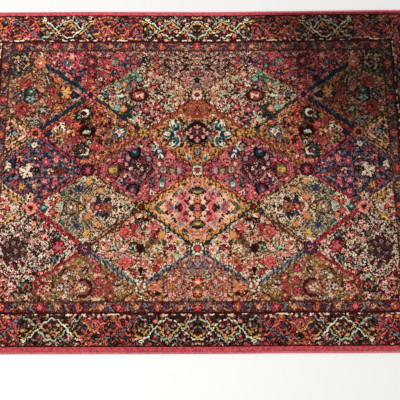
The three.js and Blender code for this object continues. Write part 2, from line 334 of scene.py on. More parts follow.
# Motifs of each panel: kind, place outwards and across in mm, size, turn and yarns
MOTIFS = {
    (0, 1): """
patch 0 88 44 0 rust brick
patch 30 -60 34 0 amber brown
mesh 0 0 58 0 ink moss
disc 0 0 44 0 ink maroon plum
flower5 0 24 14 0 ink mauve pink
flower5 0 -26 14 0 ink mauve pink
flower5 24 12 12 0 ink rose blush
flower5 24 -14 12 0 ink rose blush
flower5 38 -2 12 0 ink mauve blush
flower6 0 0 12 0 ink rose mauve olive
flower5 48 24 13 0 bottle taupe ivory
flower5 50 -26 13 0 navy slate taupe
flower5 30 44 11 0 ink taupe sand
flower5 30 -44 11 0 ink olive sand
diamond 62 -3 12 0 maroon crimson cream
palm 86 28 27 55 ivory teal ivory ink navy
palm 108 -5 27 0 ivory teal ivory amber navy
palm 86 -36 27 -55 ivory teal ivory ink navy
leaf 62 46 15 40 ink bottle
leaf 60 -50 15 -40 ink bottle
flower6 0 80 17 0 maroon brown crimson sand
flower5 30 64 12 0 maroon crimson pink
flower5 36 96 11 0 bottle taupe rust
bar 20 56 24 -14 amber gold
flower5 0 108 11 0 brown amber maroon
flower5 34 -62 12 0 maroon crimson pink
flower6 0 -74 16 0 ink slate taupe
flower5 12 -92 9 0 umber rust amber
leaf 33 -100 20 70 cream teal
flower5 60 -72 9 0 umber rust gold
flower5 0 -118 9 0 umber coral blush
diamond 140 -2 14 0 umber rust amber
flower5 64 70 9 0 maroon coral cream
""",
    (2, 1): """
flower8 -114 2 27 0 navy slate ivory coral
flower8 -72 26 18 0 ink taupe maroon rose
flower8 -74 -36 18 0 ink teal maroon rust
flower6 -96 -16 12 0 navy slate brown
flower5 -100 38 10 0 brown gold cream
leaf -132 -42 16 140 umber olive gold
leaf -76 64 18 25 umber taupe cream
flower8 28 76 37 0 ink bottle ink teal
flower6 28 78 23 0 umber sand ink maroon
moon 22 80 16 130 ivory cream
disc 44 60 7 0 teal aqua
flower8 -24 100 22 0 maroon crimson coral maroon
flower8 -26 64 20 0 maroon coral crimson wine
flower6 -58 92 12 0 umber amber sand
flower8 50 28 21 0 maroon crimson coral magenta
flower8 78 48 17 0 wine crimson magenta plum
flower5 70 66 13 0 umber olive gold
wide 8 6 36 0 maroon ink
flower5 -2 26 12 0 ink plum brown
disc 4 3 8 0 mint sand
disc 18 2 8 0 sand mint
diamond 80 4 13 0 rust yellow cream
comb 106 26 26 60 umber cream
comb 118 -28 32 40 umber sand olive
comb 138 14 24 -14 umber cream
diamond 160 0 20 0 ink navy
flower8 -28 -54 20 0 maroon rose crimson pink
flower8 -30 -102 20 0 brick crimson blush wine
flower8 26 -74 33 0 ink teal ink navy
flower6 22 -74 20 0 umber ivory maroon crimson
moon 14 -74 16 180 ivory ivory
flower8 52 -26 18 0 maroon magenta crimson plum
flower8 80 -54 22 0 wine rose mauve ink
flower5 0 -36 13 0 navy slate ivory
flower5 20 -118 13 0 brown amber coral
flower5 -62 -78 12 0 umber coral gold
flower5 -58 -8 11 0 ink slate amber
flower5 -28 0 11 0 wine magenta pink
flower5 96 -78 10 0 plum mauve sand
leaf -48 60 16 70 umber gold amber
""",
    (4, 1): """
disc -126 0 17 0 pink ink
disc -126 0 10 0 teal aqua
leaf -150 22 26 38 umber gold cream
leaf -118 44 26 42 umber gold cream
bar -158 10 20 35 pink pink
flower5 -100 22 10 0 maroon pink cream
flower5 -98 52 12 0 umber brick blush
diamond -98 0 12 0 bottle navy slate
""",
    (1, 0): """
mesh 20 8 58 0 ink plum
flower5 18 22 13 0 ink taupe cream
flower5 24 -8 17 0 maroon brown mauve
flower5 2 6 13 0 ink olive cream
flower5 44 8 12 0 ink mauve cream
arc 20 -10 34 -90 pink mauve
cee 32 70 27 -120 ink navy slate
cee 56 48 18 -60 navy mauve pink
moon 70 66 12 100 navy indigo
cee -32 90 20 140 ink taupe olive
moon -42 92 17 190 ivory mint
palm -66 64 24 70 navy indigo ivory crimson navy
disc -66 54 10 0 ivory ivory maroon
cee -24 44 15 200 navy mauve slate
flower5 6 98 12 0 ink olive sand
flower5 -2 66 11 0 plum mauve ink
palm -74 -50 21 -70 teal taupe ivory ink teal
flower6 -36 -84 19 0 wine magenta ivory crimson
cee 36 -74 26 120 ink plum mauve
disc 20 -64 10 0 ink navy navy
moon 60 -46 17 -20 navy indigo
flower5 -34 -42 14 0 ink slate mauve
flower5 6 -44 13 0 ink plum mauve
palm 104 2 30 0 umber olive gold rust umber
arc 112 0 36 0 rose maroon
disc -76 0 12 0 brown taupe brown
flower6 -110 -4 17 0 umber olive sand taupe
disc -138 0 10 0 slate lilac
curl -104 40 22 120 pink rose
curl -104 -38 22 240 pink rose
flower5 -64 26 11 0 brown amber cream
flower5 -60 -24 10 0 maroon rose blush
flower5 88 38 11 0 wine magenta pink
flower5 86 -40 13 0 maroon cream brown
flower5 62 22 10 0 wine pink blush
flower5 66 -20 10 0 wine rose cream
flower5 -4 -106 11 0 wine rose pink
flower5 64 92 11 0 olive sand gold
flower5 60 -88 10 0 wine pink blush
""",
    (3, 0): """
flower8 -100 -4 20 0 umber brick maroon brown
flower6 -62 -2 14 0 ink blush sand maroon
flower8 24 -4 32 0 ink cream umber olive
cross 26 -4 30 22 blush cream ivory
flower6 -8 -4 18 0 ink umber taupe ink
flower8 56 46 20 0 ink crimson pink ink
flower6 -6 50 17 0 ink taupe maroon cream
flower6 2 100 14 0 umber blush ivory
flower6 -38 84 15 0 wine coral brick
flower8 -86 44 20 0 plum magenta pink rose
flower8 -46 34 18 0 indigo rose magenta pink
disc -130 16 8 0 blush brick
disc -130 -18 8 0 blush brick
flower6 -86 -42 17 0 plum coral rose
flower8 -46 -44 16 0 indigo magenta pink rose
flower6 -8 -56 16 0 umber sand rose cream
flower6 40 -62 22 0 umber brown gold coral
flower6 68 -46 14 0 maroon rose crimson
flower8 6 -102 21 0 umber amber cream maroon
flower6 -46 -84 15 0 wine magenta pink
flower5 36 78 13 0 ink coral rose
leaf 80 30 24 90 ink navy
comb 98 18 24 80 brown cream
flower5 82 -4 12 0 maroon crimson rose
flower5 -14 18 9 0 navy slate pink
flower5 70 92 11 0 plum magenta pink
leaf -60 62 14 30 indigo slate
leaf 74 -84 20 40 rust gold yellow
comb 84 108 22 115 umber gold
flower5 -120 40 10 0 plum rose pink
flower5 -20 -20 9 0 navy indigo slate
""",
    (0, -1): """
diamond 0 0 96 0 pink blush coral
cap 0 100 40 0 sand coral rose
diamond 48 92 22 0 amber brown gold
diamond 100 0 62 0 sand blush rose
chevron 62 0 34 0 lilac mauve
chevron 50 0 30 0 maroon wine
bar 66 34 42 54 pink rose
leaf 78 0 12 90 ink bottle
flower4 98 0 9 0 navy slate
disc 97 28 5 0 ink maroon
disc 92 42 4 0 ink ink
disc 118 0 5 0 rust amber
chevron 140 0 24 0 moss olive
chevron 165 0 20 0 gold amber
flower5 50 44 17 0 rose pink crimson
lens 55 58 17 0 slate mauve
flower6 0 30 17 0 maroon coral amber
flower5 24 66 12 0 maroon rose blush
flower5 20 98 11 0 brown rose blush
flower5 76 20 7 0 umber blush
flower4 110 18 8 0 umber rose blush
flower4 82 50 7 0 umber moss blush
flower5 0 122 9 0 maroon rose sand
lens 0 64 33 0 ink navy olive
lens 0 59 20 0 bottle olive gold
flower6 20 0 14 0 ink navy indigo
disc 0 0 17 0 navy coral
disc 0 0 8 0 brick coral
disc 28 34 5 0 indigo navy
disc 34 16 4 0 rust brown
flower5 48 88 6 0 umber umber
flower5 68 72 8 0 mauve slate sand
leaf 128 32 14 145 coral gold cream
leaf 110 52 14 145 coral blush
""",
    (2, -1): """
mesh 40 50 62 0 moss taupe
mesh -60 62 46 0 umber sand
flower8 -74 0 27 0 umber brown rust
lens -72 27 16 0 ink navy
disc -46 22 11 0 navy indigo
disc -38 0 13 0 wine crimson coral
moon -22 0 22 0 pink blush
flower6 -6 36 15 0 brown amber coral gold
flower6 -50 64 14 0 brown amber gold coral
flower6 -6 98 15 0 brown yellow gold amber
disc 10 0 8 0 navy navy
flower6 21 0 12 0 umber amber yellow
ring 56 0 30 0 umber taupe
ring 56 0 20 0 brown sand
disc 57 0 9 0 brown cream
leaf 98 0 17 90 slate mint
flower6 126 17 15 0 wine crimson rose coral
flower6 107 32 13 0 maroon coral amber
diamond 160 0 20 0 bottle teal mint
flower8 33 70 17 0 navy slate indigo
disc 89 54 8 0 umber teal
lens -148 0 16 90 moss bottle sand
disc -128 0 7 0 umber ink
flower5 -129 24 11 0 umber blush
flower5 -100 40 12 0 umber ivory blush
leaf 20 32 12 90 sand blush
flower5 60 58 9 0 umber rose cream
flower5 -28 90 10 0 moss blush brown
""",
    (4, -1): """
comb -150 0 20 90 taupe ivory
disc -119 0 15 0 cream crimson rose
disc -96 31 12 0 cream crimson rose
leaf -132 44 34 42 brown gold yellow
leaf -108 68 20 42 brown gold cream
""",
    (1, 2): """
patch 66 70 40 0 moss aqua
patch 70 -70 38 0 bottle moss
wide 20 -2 40 0 umber ink
wide 22 -2 30 0 maroon brick
bone 18 -2 17 0 blush blush
drop 98 -2 22 180 umber mint ivory
flower5 122 8 12 0 umber mauve crimson rose
flower5 124 -16 10 0 maroon magenta pink
flower8 42 46 21 0 ink plum mauve rose
disc 20 66 13 0 bottle aqua
disc 44 88 9 0 teal aqua
disc 70 58 11 0 moss aqua
flower6 80 44 13 0 brown coral amber cream
disc 105 46 9 0 aqua aqua
flower8 -8 48 22 0 maroon crimson ivory taupe
flower8 -22 88 21 0 maroon rose sand mint
leaf -46 86 19 90 taupe mint ivory
flower6 6 106 13 0 umber mauve cream
flower8 -8 -60 21 0 ink crimson rose mint
flower6 36 -66 15 0 wine crimson ivory teal
disc 64 -64 10 0 ink bottle
flower6 80 -56 14 0 brown coral amber sand
disc 104 -52 14 0 teal aqua
flower6 -62 -62 16 0 wine rose blush mint
flower6 -66 -84 12 0 maroon crimson pink
flower6 -30 -106 15 0 maroon rose blush slate
flower6 20 -106 13 0 rust coral cream crimson
flower5 0 -84 11 0 ink navy slate
leaf 38 -92 15 60 mint aqua
flower5 -84 14 10 0 sand umber maroon
flower5 -88 -26 10 0 cream plum ink
flower6 -128 -4 15 0 sand gold umber rust
flower5 -112 30 9 0 sand maroon rust
flower5 -54 8 12 0 taupe cream ink
flower5 -48 34 11 0 umber cream rose
flower5 -46 -28 11 0 umber ivory rose
flower5 62 26 11 0 plum mauve olive
disc 70 2 8 0 umber sand
leaf 4 30 15 10 umber olive
diamond 152 2 16 0 ink slate navy
flower5 62 -28 10 0 maroon pink cream
flower6 -52 -50 18 0 maroon crimson rose mauve
flower5 -18 -104 12 0 maroon crimson cream
flower5 -78 -20 12 0 maroon crimson rose
flower5 -78 22 11 0 umber coral blush
flower5 -50 92 12 0 maroon crimson rose
flower5 -98 40 12 0 maroon rose blush
flower6 26 -56 17 0 ink crimson slate rose
flower5 -124 12 11 0 brown amber cream
flower5 -124 -14 11 0 brown amber cream
flower5 -148 0 12 0 brown gold coral
flower6 -44 40 15 0 maroon rose coral
flower5 -18 62 12 0 umber rose cream
""",
    (3, 2): """
patch 60 -54 26 0 brick rust
patch 54 52 26 0 brick rust
patch -92 4 34 0 rust brown
patch 70 0 26 0 rose taupe
disc 26 0 34 0 umber bottle
flower6 28 16 22 0 ink teal moss mint
flower6 30 -16 20 0 ink slate mint navy
disc 8 -2 9 0 maroon rose
flower5 74 -2 20 0 maroon pink wine cream
ring 74 -2 23 0 ink slate
flower6 -104 10 32 0 maroon amber gold sand
disc -86 2 10 0 umber navy
disc -142 0 16 0 ink navy
flower6 -76 66 24 0 maroon amber rust gold
flower6 -80 -52 23 0 maroon amber rust sand
flower5 -48 92 15 0 umber coral sand
leaf -34 64 26 70 ink moss mint
flower5 -12 60 15 0 umber sand rose
flower5 -20 -58 19 0 ink moss mint mauve
leaf -52 16 24 80 maroon crimson rose
leaf -44 -24 24 -80 maroon crimson rose
leaf 48 52 22 -50 maroon crimson coral
flower5 20 44 15 0 maroon rose blush
flower5 -12 22 14 0 brown coral sand
flower5 -14 -22 14 0 maroon coral sand
leaf 26 -94 24 10 ink sand slate
flower5 6 -112 13 0 ink slate mint
flower5 -36 -88 14 0 maroon crimson rose
flower5 0 122 16 0 maroon coral sand
leaf 44 106 26 -45 ink navy slate
flower5 80 106 15 0 ink gold teal
flower5 86 38 15 0 umber coral sand
flower5 98 -36 15 0 maroon rose blush
flower5 54 -58 16 0 ink crimson rose
flower5 74 -80 13 0 maroon crimson rose
flower5 14 86 14 0 maroon coral gold
""",
    (0, 3): """
flower5 0 0 13 0 umber maroon blush
flower5 38 0 12 0 ink maroon blush
flower5 74 0 12 0 ink maroon cream
flower5 110 2 13 0 maroon wine blush
flower5 146 0 11 0 umber rose blush
flower5 20 -22 11 0 umber moss cream
flower5 56 -22 11 0 ink maroon blush
flower5 92 -26 12 0 ink slate blush
flower5 128 -20 10 0 umber rust sand
flower5 0 -44 13 0 ink maroon rose
flower5 38 -46 12 0 umber mauve blush
flower5 74 -50 11 0 umber rose blush
flower5 20 -68 10 0 umber sand blush
flower6 0 -94 16 0 ink slate taupe
disc 0 -74 9 0 ink bottle
flower5 36 -92 11 0 maroon rose sand
flower5 56 -72 10 0 umber coral blush
flower5 0 -120 9 0 ink maroon rose
flower4 160 16 12 0 maroon crimson rose
""",
    (2, 3): """
patch 92 8 36 0 rose crimson
patch 62 -62 30 0 rose crimson
patch 8 -108 26 0 crimson brick
patch -56 -22 32 0 crimson rose
patch -110 4 34 0 rose crimson
disc 4 0 24 0 umber brick
flower6 4 0 17 0 ink crimson rose cream
flower6 84 24 24 0 maroon rose pink blush
flower5 102 -4 17 0 ink slate teal cream
flower5 40 -46 18 0 ink slate navy rose
flower5 76 -42 17 0 ink slate navy rose
flower5 56 -72 16 0 ink indigo navy coral
flower4 104 -50 10 0 maroon mint cream
disc 0 -46 20 0 maroon crimson
flower5 0 -46 12 0 ink rose pink
flower5 0 -78 16 0 maroon brick coral
flower6 -6 -108 20 0 umber rust coral sand
flower5 26 -114 14 0 ink crimson rose
flower5 -140 16 15 0 ink navy slate coral
flower5 -120 -10 15 0 ink slate navy rose
flower5 -92 4 18 0 umber mint taupe coral
flower5 -60 22 13 0 maroon rose blush
flower5 -32 28 13 0 umber mauve blush
leaf -60 -42 20 20 umber rust amber
flower5 -88 -44 16 0 ink slate navy coral
flower5 -92 -76 13 0 maroon rose pink
flower5 -36 -72 13 0 maroon coral blush
flower5 46 -12 13 0 maroon rose blush
flower5 130 -6 13 0 ink plum mauve
flower4 152 0 11 0 umber rose blush
""",
    (4, 3): """
diamond -136 0 38 0 ink navy
diamond -148 0 14 0 gold maroon
disc -128 17 11 0 sand ink teal
diamond -112 0 12 0 cream brick
bar -152 16 16 45 gold cream
bar -118 30 18 -50 gold sand
leaf -112 42 20 120 bottle teal
leaf -160 36 20 40 bottle navy
""",
    (1, -2): """
flower8 6 0 20 0 ink maroon ink maroon
flower8 28 2 21 0 ink olive mint umber
flower8 -58 0 22 0 olive gold ivory brown
arc -52 0 32 40 moss olive
arc -50 -6 30 -50 moss brown
flower6 -36 26 13 0 brown olive umber
flower8 -46 50 17 0 maroon rose brick ink
flower6 -76 50 16 0 rust amber gold coral
flower8 -106 40 18 0 cream rose crimson maroon
flower8 -48 84 17 0 rose coral crimson ivory
arc -18 84 24 30 ink ink
arc -10 92 22 60 maroon ink
disc 10 106 9 0 bottle ink
disc 22 98 6 0 ink navy
flower6 26 80 15 0 maroon rose crimson
flower6 28 54 15 0 rust coral maroon rose
flower8 60 60 23 0 rose coral crimson coral
flower6 88 42 13 0 brown coral blush
flower8 -112 4 19 0 cream crimson maroon rose
flower6 -150 0 14 0 cream rose pink
flower6 -66 -46 19 0 rust amber brick crimson
flower6 -56 -74 15 0 maroon brick crimson
flower6 -10 -56 16 0 brown coral rose cream
leaf 0 -80 18 90 ink ink
flower6 26 -86 14 0 maroon rose crimson
flower6 32 -50 16 0 wine rose coral
flower8 60 -50 23 0 rose coral crimson coral
flower6 90 -20 14 0 brown coral rose mint
flower6 96 0 12 0 mint ink mint
flower6 62 0 14 0 brown rose cream
flower5 116 -24 11 0 cream rose coral
flower5 112 20 11 0 cream brown coral
disc 140 4 8 0 sand blush
flower6 -106 -44 14 0 cream rose coral
disc -128 -24 8 0 slate mint
flower5 -84 22 10 0 umber ink moss
flower5 -24 -24 11 0 olive sand brown
flower5 -36 -100 11 0 brown coral cream
flower5 0 36 11 0 brown gold rose
flower5 54 -84 10 0 wine rose cream
flower5 54 92 11 0 brown rose cream
""",
    (3, -2): """
flower6 -112 4 27 0 maroon crimson rose slate
flower5 -104 42 15 0 ink bottle slate
flower5 -98 -38 15 0 ink bottle slate
flower6 -58 46 18 0 maroon rose blush pink
leaf -62 82 18 45 maroon crimson rose
flower5 -12 94 16 0 maroon coral blush
leaf -38 100 16 60 ink moss mint
leaf 14 96 16 -60 ink bottle mint
disc -36 4 11 0 ink plum
patch 50 0 44 0 umber plum
flower5 30 16 13 0 ink umber mauve
flower5 54 22 13 0 ink plum taupe
flower5 78 10 13 0 ink umber mauve
flower5 44 -10 13 0 ink plum taupe
flower5 70 -18 12 0 ink umber lilac
flower5 20 -6 10 0 umber olive sand
flower5 10 52 14 0 umber navy olive
flower5 60 62 12 0 ink slate cream
flower5 -32 -76 13 0 ink slate mauve
flower5 -8 -82 13 0 maroon coral blush
flower5 -62 -48 14 0 umber slate rose
flower5 -48 -92 13 0 maroon crimson rose
leaf 42 -64 20 60 ink maroon brick
leaf 72 -46 20 80 ink maroon wine
flower4 16 -46 10 0 umber rose blush
flower4 -8 -36 9 0 maroon mauve cream
flower5 20 -112 12 0 umber sand olive
flower5 -10 26 10 0 maroon rose cream
flower5 -80 -16 10 0 maroon coral sand
flower4 88 40 10 0 ink slate mauve
""",
    (0, -3): """
flower6 0 18 24 0 umber rust coral blush
flower6 0 -18 20 0 umber rust coral sand
disc 0 1 8 0 umber moss
disc 22 0 4 0 umber cream
flower5 24 22 11 0 umber coral blush
flower5 0 84 15 0 plum slate lilac
flower5 30 80 14 0 navy slate mauve
flower5 52 56 15 0 navy slate mauve
flower5 18 56 14 0 plum slate taupe
disc 0 64 5 0 umber blush
flower4 38 38 10 0 umber teal sand
flower5 72 48 13 0 maroon coral sand
flower5 66 20 12 0 brown rose blush
flower6 92 30 19 0 brown rose blush taupe
flower5 112 44 11 0 olive sand blush
leaf 128 34 14 -30 umber olive
flower5 84 -6 11 0 umber rust amber
flower5 112 6 13 0 brown blush rose
flower5 134 14 12 0 brown coral sand
flower6 152 0 15 0 rust amber coral
leaf 140 -22 12 30 ink navy
flower4 50 0 11 0 maroon rose sand
flower5 60 -26 11 0 brown blush rose
flower5 100 -28 12 0 maroon rose blush
disc 124 -28 7 0 umber gold
""",
    (2, -3): """
flower6 -98 30 19 10 maroon brick rust sand
flower6 -52 62 16 0 maroon crimson rose
flower6 -54 18 17 0 maroon crimson rose
flower6 -82 -4 14 0 umber brick gold
patch -90 0 16 0 brick rust
flower5 -124 13 12 0 ink cream mauve
flower5 -150 -4 12 0 bottle cream gold
flower5 -124 -22 11 0 ink moss gold
flower5 -30 92 15 0 brown blush rose
flower5 18 86 15 0 brown gold olive
flower5 -4 60 13 0 umber blush sand
flower5 26 56 12 0 brown sand rose
flower5 48 50 13 0 umber cream slate
flower5 -8 34 11 0 brown blush moss
flower5 20 34 11 0 umber sand blush
cee -2 -3 34 180 maroon crimson
cee 4 -3 24 180 brown blush
flower5 10 0 15 0 brown blush sand
flower5 36 6 10 0 maroon sand rose
flower5 60 12 13 0 umber cream mauve
flower5 84 2 14 0 ink cream mauve
flower5 66 34 12 0 brown cream blush
leaf 78 52 20 -48 ink bottle brown
leaf 104 26 20 -62 umber moss olive
leaf 112 6 16 -85 ink bottle
flower6 130 4 19 0 maroon crimson blush
leaf 150 12 15 -30 maroon rose pink
disc 168 0 9 0 maroon wine
flower4 104 -8 9 0 umber gold sand
""",
    (4, -3): """
flower5 -150 10 14 0 plum pink cream
flower5 -170 30 12 0 umber teal cream
flower5 -124 30 12 0 plum blush coral
flower5 -140 46 12 0 maroon rose cream
""",
    (1, 4): "flower5 0 -118 14 0 maroon rose cream",
    (3, 4): "flower5 0 -118 14 0 maroon amber cream",
    (1, -4): "flower5 0 118 14 0 umber coral cream",
    (3, -4): "flower5 0 118 14 0 plum pink cream",
}

# Panels whose far and near halves differ, so that each motif is given for its own half
UNEVEN_PANELS = {(0, 1), (1, 0), (1, 2), (2, 1), (3, 0), (1, -2), (3, 2), (3, -2)}

# Rosettes where panels meet, by how many steps outwards and across they are, each in the
# columns of the motifs with a slash between
NODES = {
    (1, 3): "diamond 0 0 24 0 indigo navy/diamond 0 0 14 0 cream maroon",
    (3, 3): "flower8 0 0 26 0 rust amber coral pink/disc 0 0 8 0 taupe ivory",
    (0, 2): (
        "flower8 0 0 25 0 brown blush cream pink/"
        "diamond 0 0 13 0 maroon crimson/disc 0 0 4 0 ink ink"
    ),
    (2, 2): "flower8 0 0 27 0 wine rose pink crimson/disc 0 0 12 0 bottle ink navy",
    (4, 2): "flower8 0 0 24 0 maroon navy gold",
    (1, 1): (
        "flower8 0 0 26 0 umber olive gold sand/"
        "diamond 0 0 12 0 gold wine/disc 0 0 4 0 ink brick"
    ),
    (3, 1): (
        "flower8 0 0 25 0 brick coral amber blush/"
        "disc 0 0 12 0 umber maroon/disc 0 0 4 0 ink rust"
    ),
    (0, 0): "flower8 0 0 25 0 umber ivory mint olive/disc 0 0 11 0 maroon crimson",
    (2, 0): "flower8 0 0 27 0 ink maroon plum/star 0 0 17 0 magenta rose/disc 0 0 5 0 rust amber",
    (4, 0): "flower8 0 0 24 0 umber rust gold",
    (1, -1): (
        "flower8 0 0 27 0 umber gold olive moss/"
        "flower8 0 0 14 0 ink umber maroon/disc 0 0 5 0 wine crimson"
    ),
    (3, -1): (
        "flower8 0 0 27 0 rose blush coral pink/"
        "disc 0 0 13 0 coral wine/disc 0 0 5 0 maroon ink"
    ),
    (0, -2): "flower8 0 0 28 0 umber ivory ivory slate/disc 0 0 15 0 maroon crimson rose",
    (2, -2): "flower8 0 0 28 0 ink plum indigo/star 0 0 14 0 pink plum/disc 0 0 5 0 ink ink",
    (1, -3): (
        "flower8 0 0 25 0 brown cream ivory blush/"
        "disc 0 0 10 0 brown amber/disc 0 0 4 0 umber rust"
    ),
    (3, -3): (
        "flower8 0 0 27 0 ink bottle teal/"
        "flower5 0 0 15 0 rust coral ink/disc 20 8 5 0 teal aqua"
    ),
    (4, -2): "flower8 0 0 24 0 maroon rust cream",
}


# One repeat of the main border: kind, place along, place in from the rug's edge, size, turn
# and yarns
BORDER_REPEAT = 413.4
BORDER_END_REPEAT = 394.0
BORDER_COLUMNS = 208
BORDER_NEAR = 24
BORDER_FAR = 132
EDGE_STRIPE = 18.5
PALE_LINE = 126.5
DARK_PARTS = ((4, 222), (284, 324))
BORDER_MOTIFS = """
disc 30 127 8 0 maroon blush
disc 122 127 9 0 maroon sand
disc 208 125 9 0 maroon blush
disc 244 126 8 0 maroon sand
disc 352 125 9 0 maroon sand
flower5 40 105 10 0 maroon coral rose
disc 46 52 17 0 ink plum
flower5 42 61 10 0 ink pink blush
flower5 49 44 9 0 plum pink blush
disc 26 50 6 0 ink moss
flower5 19 30 8 0 maroon coral blush
disc 32 30 4 0 ink moss
flower6 97 113 10 0 ink crimson plum
flower5 84 92 9 0 maroon rose blush
flower5 109 92 9 0 maroon rose pink
flower4 106 72 8 0 maroon rust sand
flower4 88 74 8 0 maroon mauve blush
flower5 97 60 9 0 maroon rose pink
flower5 123 78 8 0 ink mauve pink
flower5 84 31 8 0 ink blush mauve
flower5 110 32 8 0 ink pink blush
leaf 68 48 12 -50 ink rust brown
leaf 70 66 10 30 ink moss brown
flower5 151 105 11 0 maroon rose pink
disc 148 47 15 0 ink wine
flower5 150 56 7 0 plum rose pink
flower4 127 58 9 0 ink rust moss
leaf 175 42 10 60 ink moss bottle
flower5 171 28 9 0 maroon crimson rose
disc 201 84 20 0 ink umber
flower4 188 93 6 0 ink mauve blush
disc 211 88 4 0 ink cream
flower4 195 72 8 0 maroon amber coral
flower4 208 77 7 0 umber gold yellow
leaf 201 92 12 90 ink moss olive
disc 199 41 11 0 umber cream
flower6 245 98 19 0 maroon crimson rose pink
disc 260 52 24 0 maroon brick
disc 255 50 10 0 maroon navy
flower5 269 84 10 0 maroon crimson rose
flower5 235 50 7 0 maroon blush pink
disc 300 117 15 0 umber rust
disc 300 119 6 0 umber amber
flower5 303 90 9 0 ink wine plum
disc 290 64 6 0 ink slate
disc 306 54 7 0 ink navy
flower5 300 40 10 0 ink wine crimson
flower4 318 74 8 0 ink mint moss
disc 360 50 18 0 maroon ink
disc 355 48 6 0 ink slate
disc 370 52 5 0 ink umber
flower5 344 105 10 0 maroon magenta rose
flower5 332 57 10 0 maroon crimson rose
leaf 338 88 15 -40 maroon rust brick
leaf 356 90 15 -70 maroon rust coral
leaf 375 94 13 60 maroon rust amber
flower5 362 104 9 0 maroon taupe blush
flower5 386 114 9 0 maroon pink blush
disc 402 91 13 0 umber navy
flower5 405 122 10 0 maroon pink blush
flower5 408 42 9 0 maroon rose pink
"""

# Its vines are waves: yarn, width, middle and height in mm, waves in a repeat, phase in
# degrees, and the places along at which the vine starts and stops
BORDER_VINES = """
taupe 4 62 24 4 90 0 222
gold 5 74 22 4 270 0 222
mint 5 80 36 2 90 0 222
ivory 4 80 36 2 270 0 222
rust 5 60 22 4 90 222 414
rose 5 84 26 4 270 222 414
coral 5 74 34 2 270 222 414
slate 4 82 36 2 90 200 330
gold 4 88 18 4 90 370 414
"""

# Short stems between them, in the columns of the motifs
BORDER_SCROLLS = """
scroll 26 112 14 20 ink blush
scroll 78 46 14 -20 ink ivory
scroll 129 46 14 20 ink blush
scroll 181 112 14 -20 ink gold
scroll 233 112 14 20 maroon coral
scroll 284 46 14 -20 maroon coral
scroll 336 46 14 20 maroon pink
scroll 388 112 14 -20 maroon rose
"""
DARK_SETS = (
    "ink bottle umber / ink plum mauve / umber maroon sand / "
    "ink maroon rust / ink moss umber"
)
RED_SETS = (
    "maroon crimson coral / umber rust coral / ink brick rose / "
    "ink plum mauve / maroon rust blush"
)

# One repeat of the guard border
GUARD_REPEAT = 282.6
GUARD_COLUMNS = 142
GUARD_NEAR = 138
GUARD_MIDDLE = 155
GUARD_FAR = 176
GUARD_END_FAR = 173
GUARD_MOTIFS = """
flower6 0 154 19 0 maroon crimson rose coral
leaf 20 153 14 30 maroon wine rose
leaf -20 153 14 -30 maroon wine rose
disc 0 168 6 0 umber olive
leaf 32 156 16 90 umber slate
leaf -32 156 16 90 umber slate
arc 64 152 24 90 umber brown
arc -64 152 24 90 umber brown
flower5 62 154 12 0 umber coral sand
flower5 -62 154 12 0 umber coral sand
flower5 92 160 11 0 ink mauve slate
flower5 -92 160 11 0 ink mauve slate
leaf 100 146 14 -30 umber brown amber
leaf -100 146 14 30 umber brown amber
flower5 46 165 8 0 maroon blush rust
flower5 -46 165 8 0 maroon gold rust
disc 141.3 155 19 0 maroon brick
dots 141.3 155 16 0 coral crimson
disc 141.3 155 6 0 maroon amber
patch 118 155 9 0 indigo plum
patch 164.6 155 9 0 indigo plum
"""
GUARD_SETS = "umber plum brown / maroon wine mauve / ink umber rust / umber maroon taupe"


def grain(x, y, spacing, seed):
    """Smooth uneven numbers from minus one to one, always the same for a place and a seed."""
    table = np.random.default_rng(seed).uniform(-1, 1, (GRAIN_SIZE, GRAIN_SIZE))
    scaled_x = x / spacing
    scaled_y = y / spacing
    column = np.floor(scaled_x).astype(int)
    row = np.floor(scaled_y).astype(int)
    share_x = scaled_x - column
    share_y = scaled_y - row
    share_x = share_x * share_x * (3 - 2 * share_x)
    share_y = share_y * share_y * (3 - 2 * share_y)

    def blend(line):
        left = table[line % GRAIN_SIZE, column % GRAIN_SIZE]
        right = table[line % GRAIN_SIZE, (column + 1) % GRAIN_SIZE]
        return left * (1 - share_x) + right * share_x

    return blend(row) * (1 - share_y) + blend(row + 1) * share_y


# Motif painters. x and y are places in a motif of half-size one, and yarns are its yarn
# numbers from the rim inwards


def nested(cells, distance, sizes, yarns):
    """Paints one shape inside another, each in its own yarn."""
    for size, yarn in zip(sizes, yarns):
        cells[distance < size] = yarn


def nested_rims(cells, y, rim, shrinks, slack, yarns):
    """Paints one long shape inside another, by how far its rim is from its middle line."""
    for shrink, yarn in zip(shrinks, yarns):
        cells[np.abs(y) < rim * shrink - (1 - shrink) * slack] = yarn


def paint_disc(cells, x, y, yarns):
    nested(cells, np.hypot(x, y), (1.0, 0.76, 0.4), yarns)


def paint_dots(cells, x, y, yarns):
    """Spots in rings, as on a pomegranate."""
    r = np.hypot(x, y)
    angle = np.arctan2(y, x)
    cells[(r < 1) & (np.cos(angle * 9) * np.cos(r * 15) > 0.25)] = yarns[0]


def paint_ring(cells, x, y, yarns):
    r = np.hypot(x, y)
    cells[(r < 1) & (r > 0.84)] = yarns[0]
    cells[(r <= 0.84) & (r > 0.6)] = yarns[-1]
    cells[(r <= 0.6) & (r > 0.5)] = yarns[0]


def paint_flower(lobes):
    """Makes the painter of a flower: outline, petals, heart and eye."""
    def paint(cells, x, y, yarns):
        r = np.hypot(x, y)
        wave = np.abs(np.cos(np.arctan2(y, x) * lobes / 2))
        rim = 0.72 + 0.28 * wave ** 0.7
        petal = (r < rim * 0.84) & (wave > 0.34)
        cells[r < rim] = yarns[0]
        cells[petal] = yarns[1]
        if len(yarns) > 2:
            cells[petal & (r > 0.5) & (wave > 0.9) & (r < 0.76)] = yarns[2]
            cells[r < 0.42 + 0.08 * wave] = yarns[2]
        if len(yarns) > 3:
            cells[r < 0.25] = yarns[3]
        else:
            cells[r < 0.18] = yarns[0]
    return paint


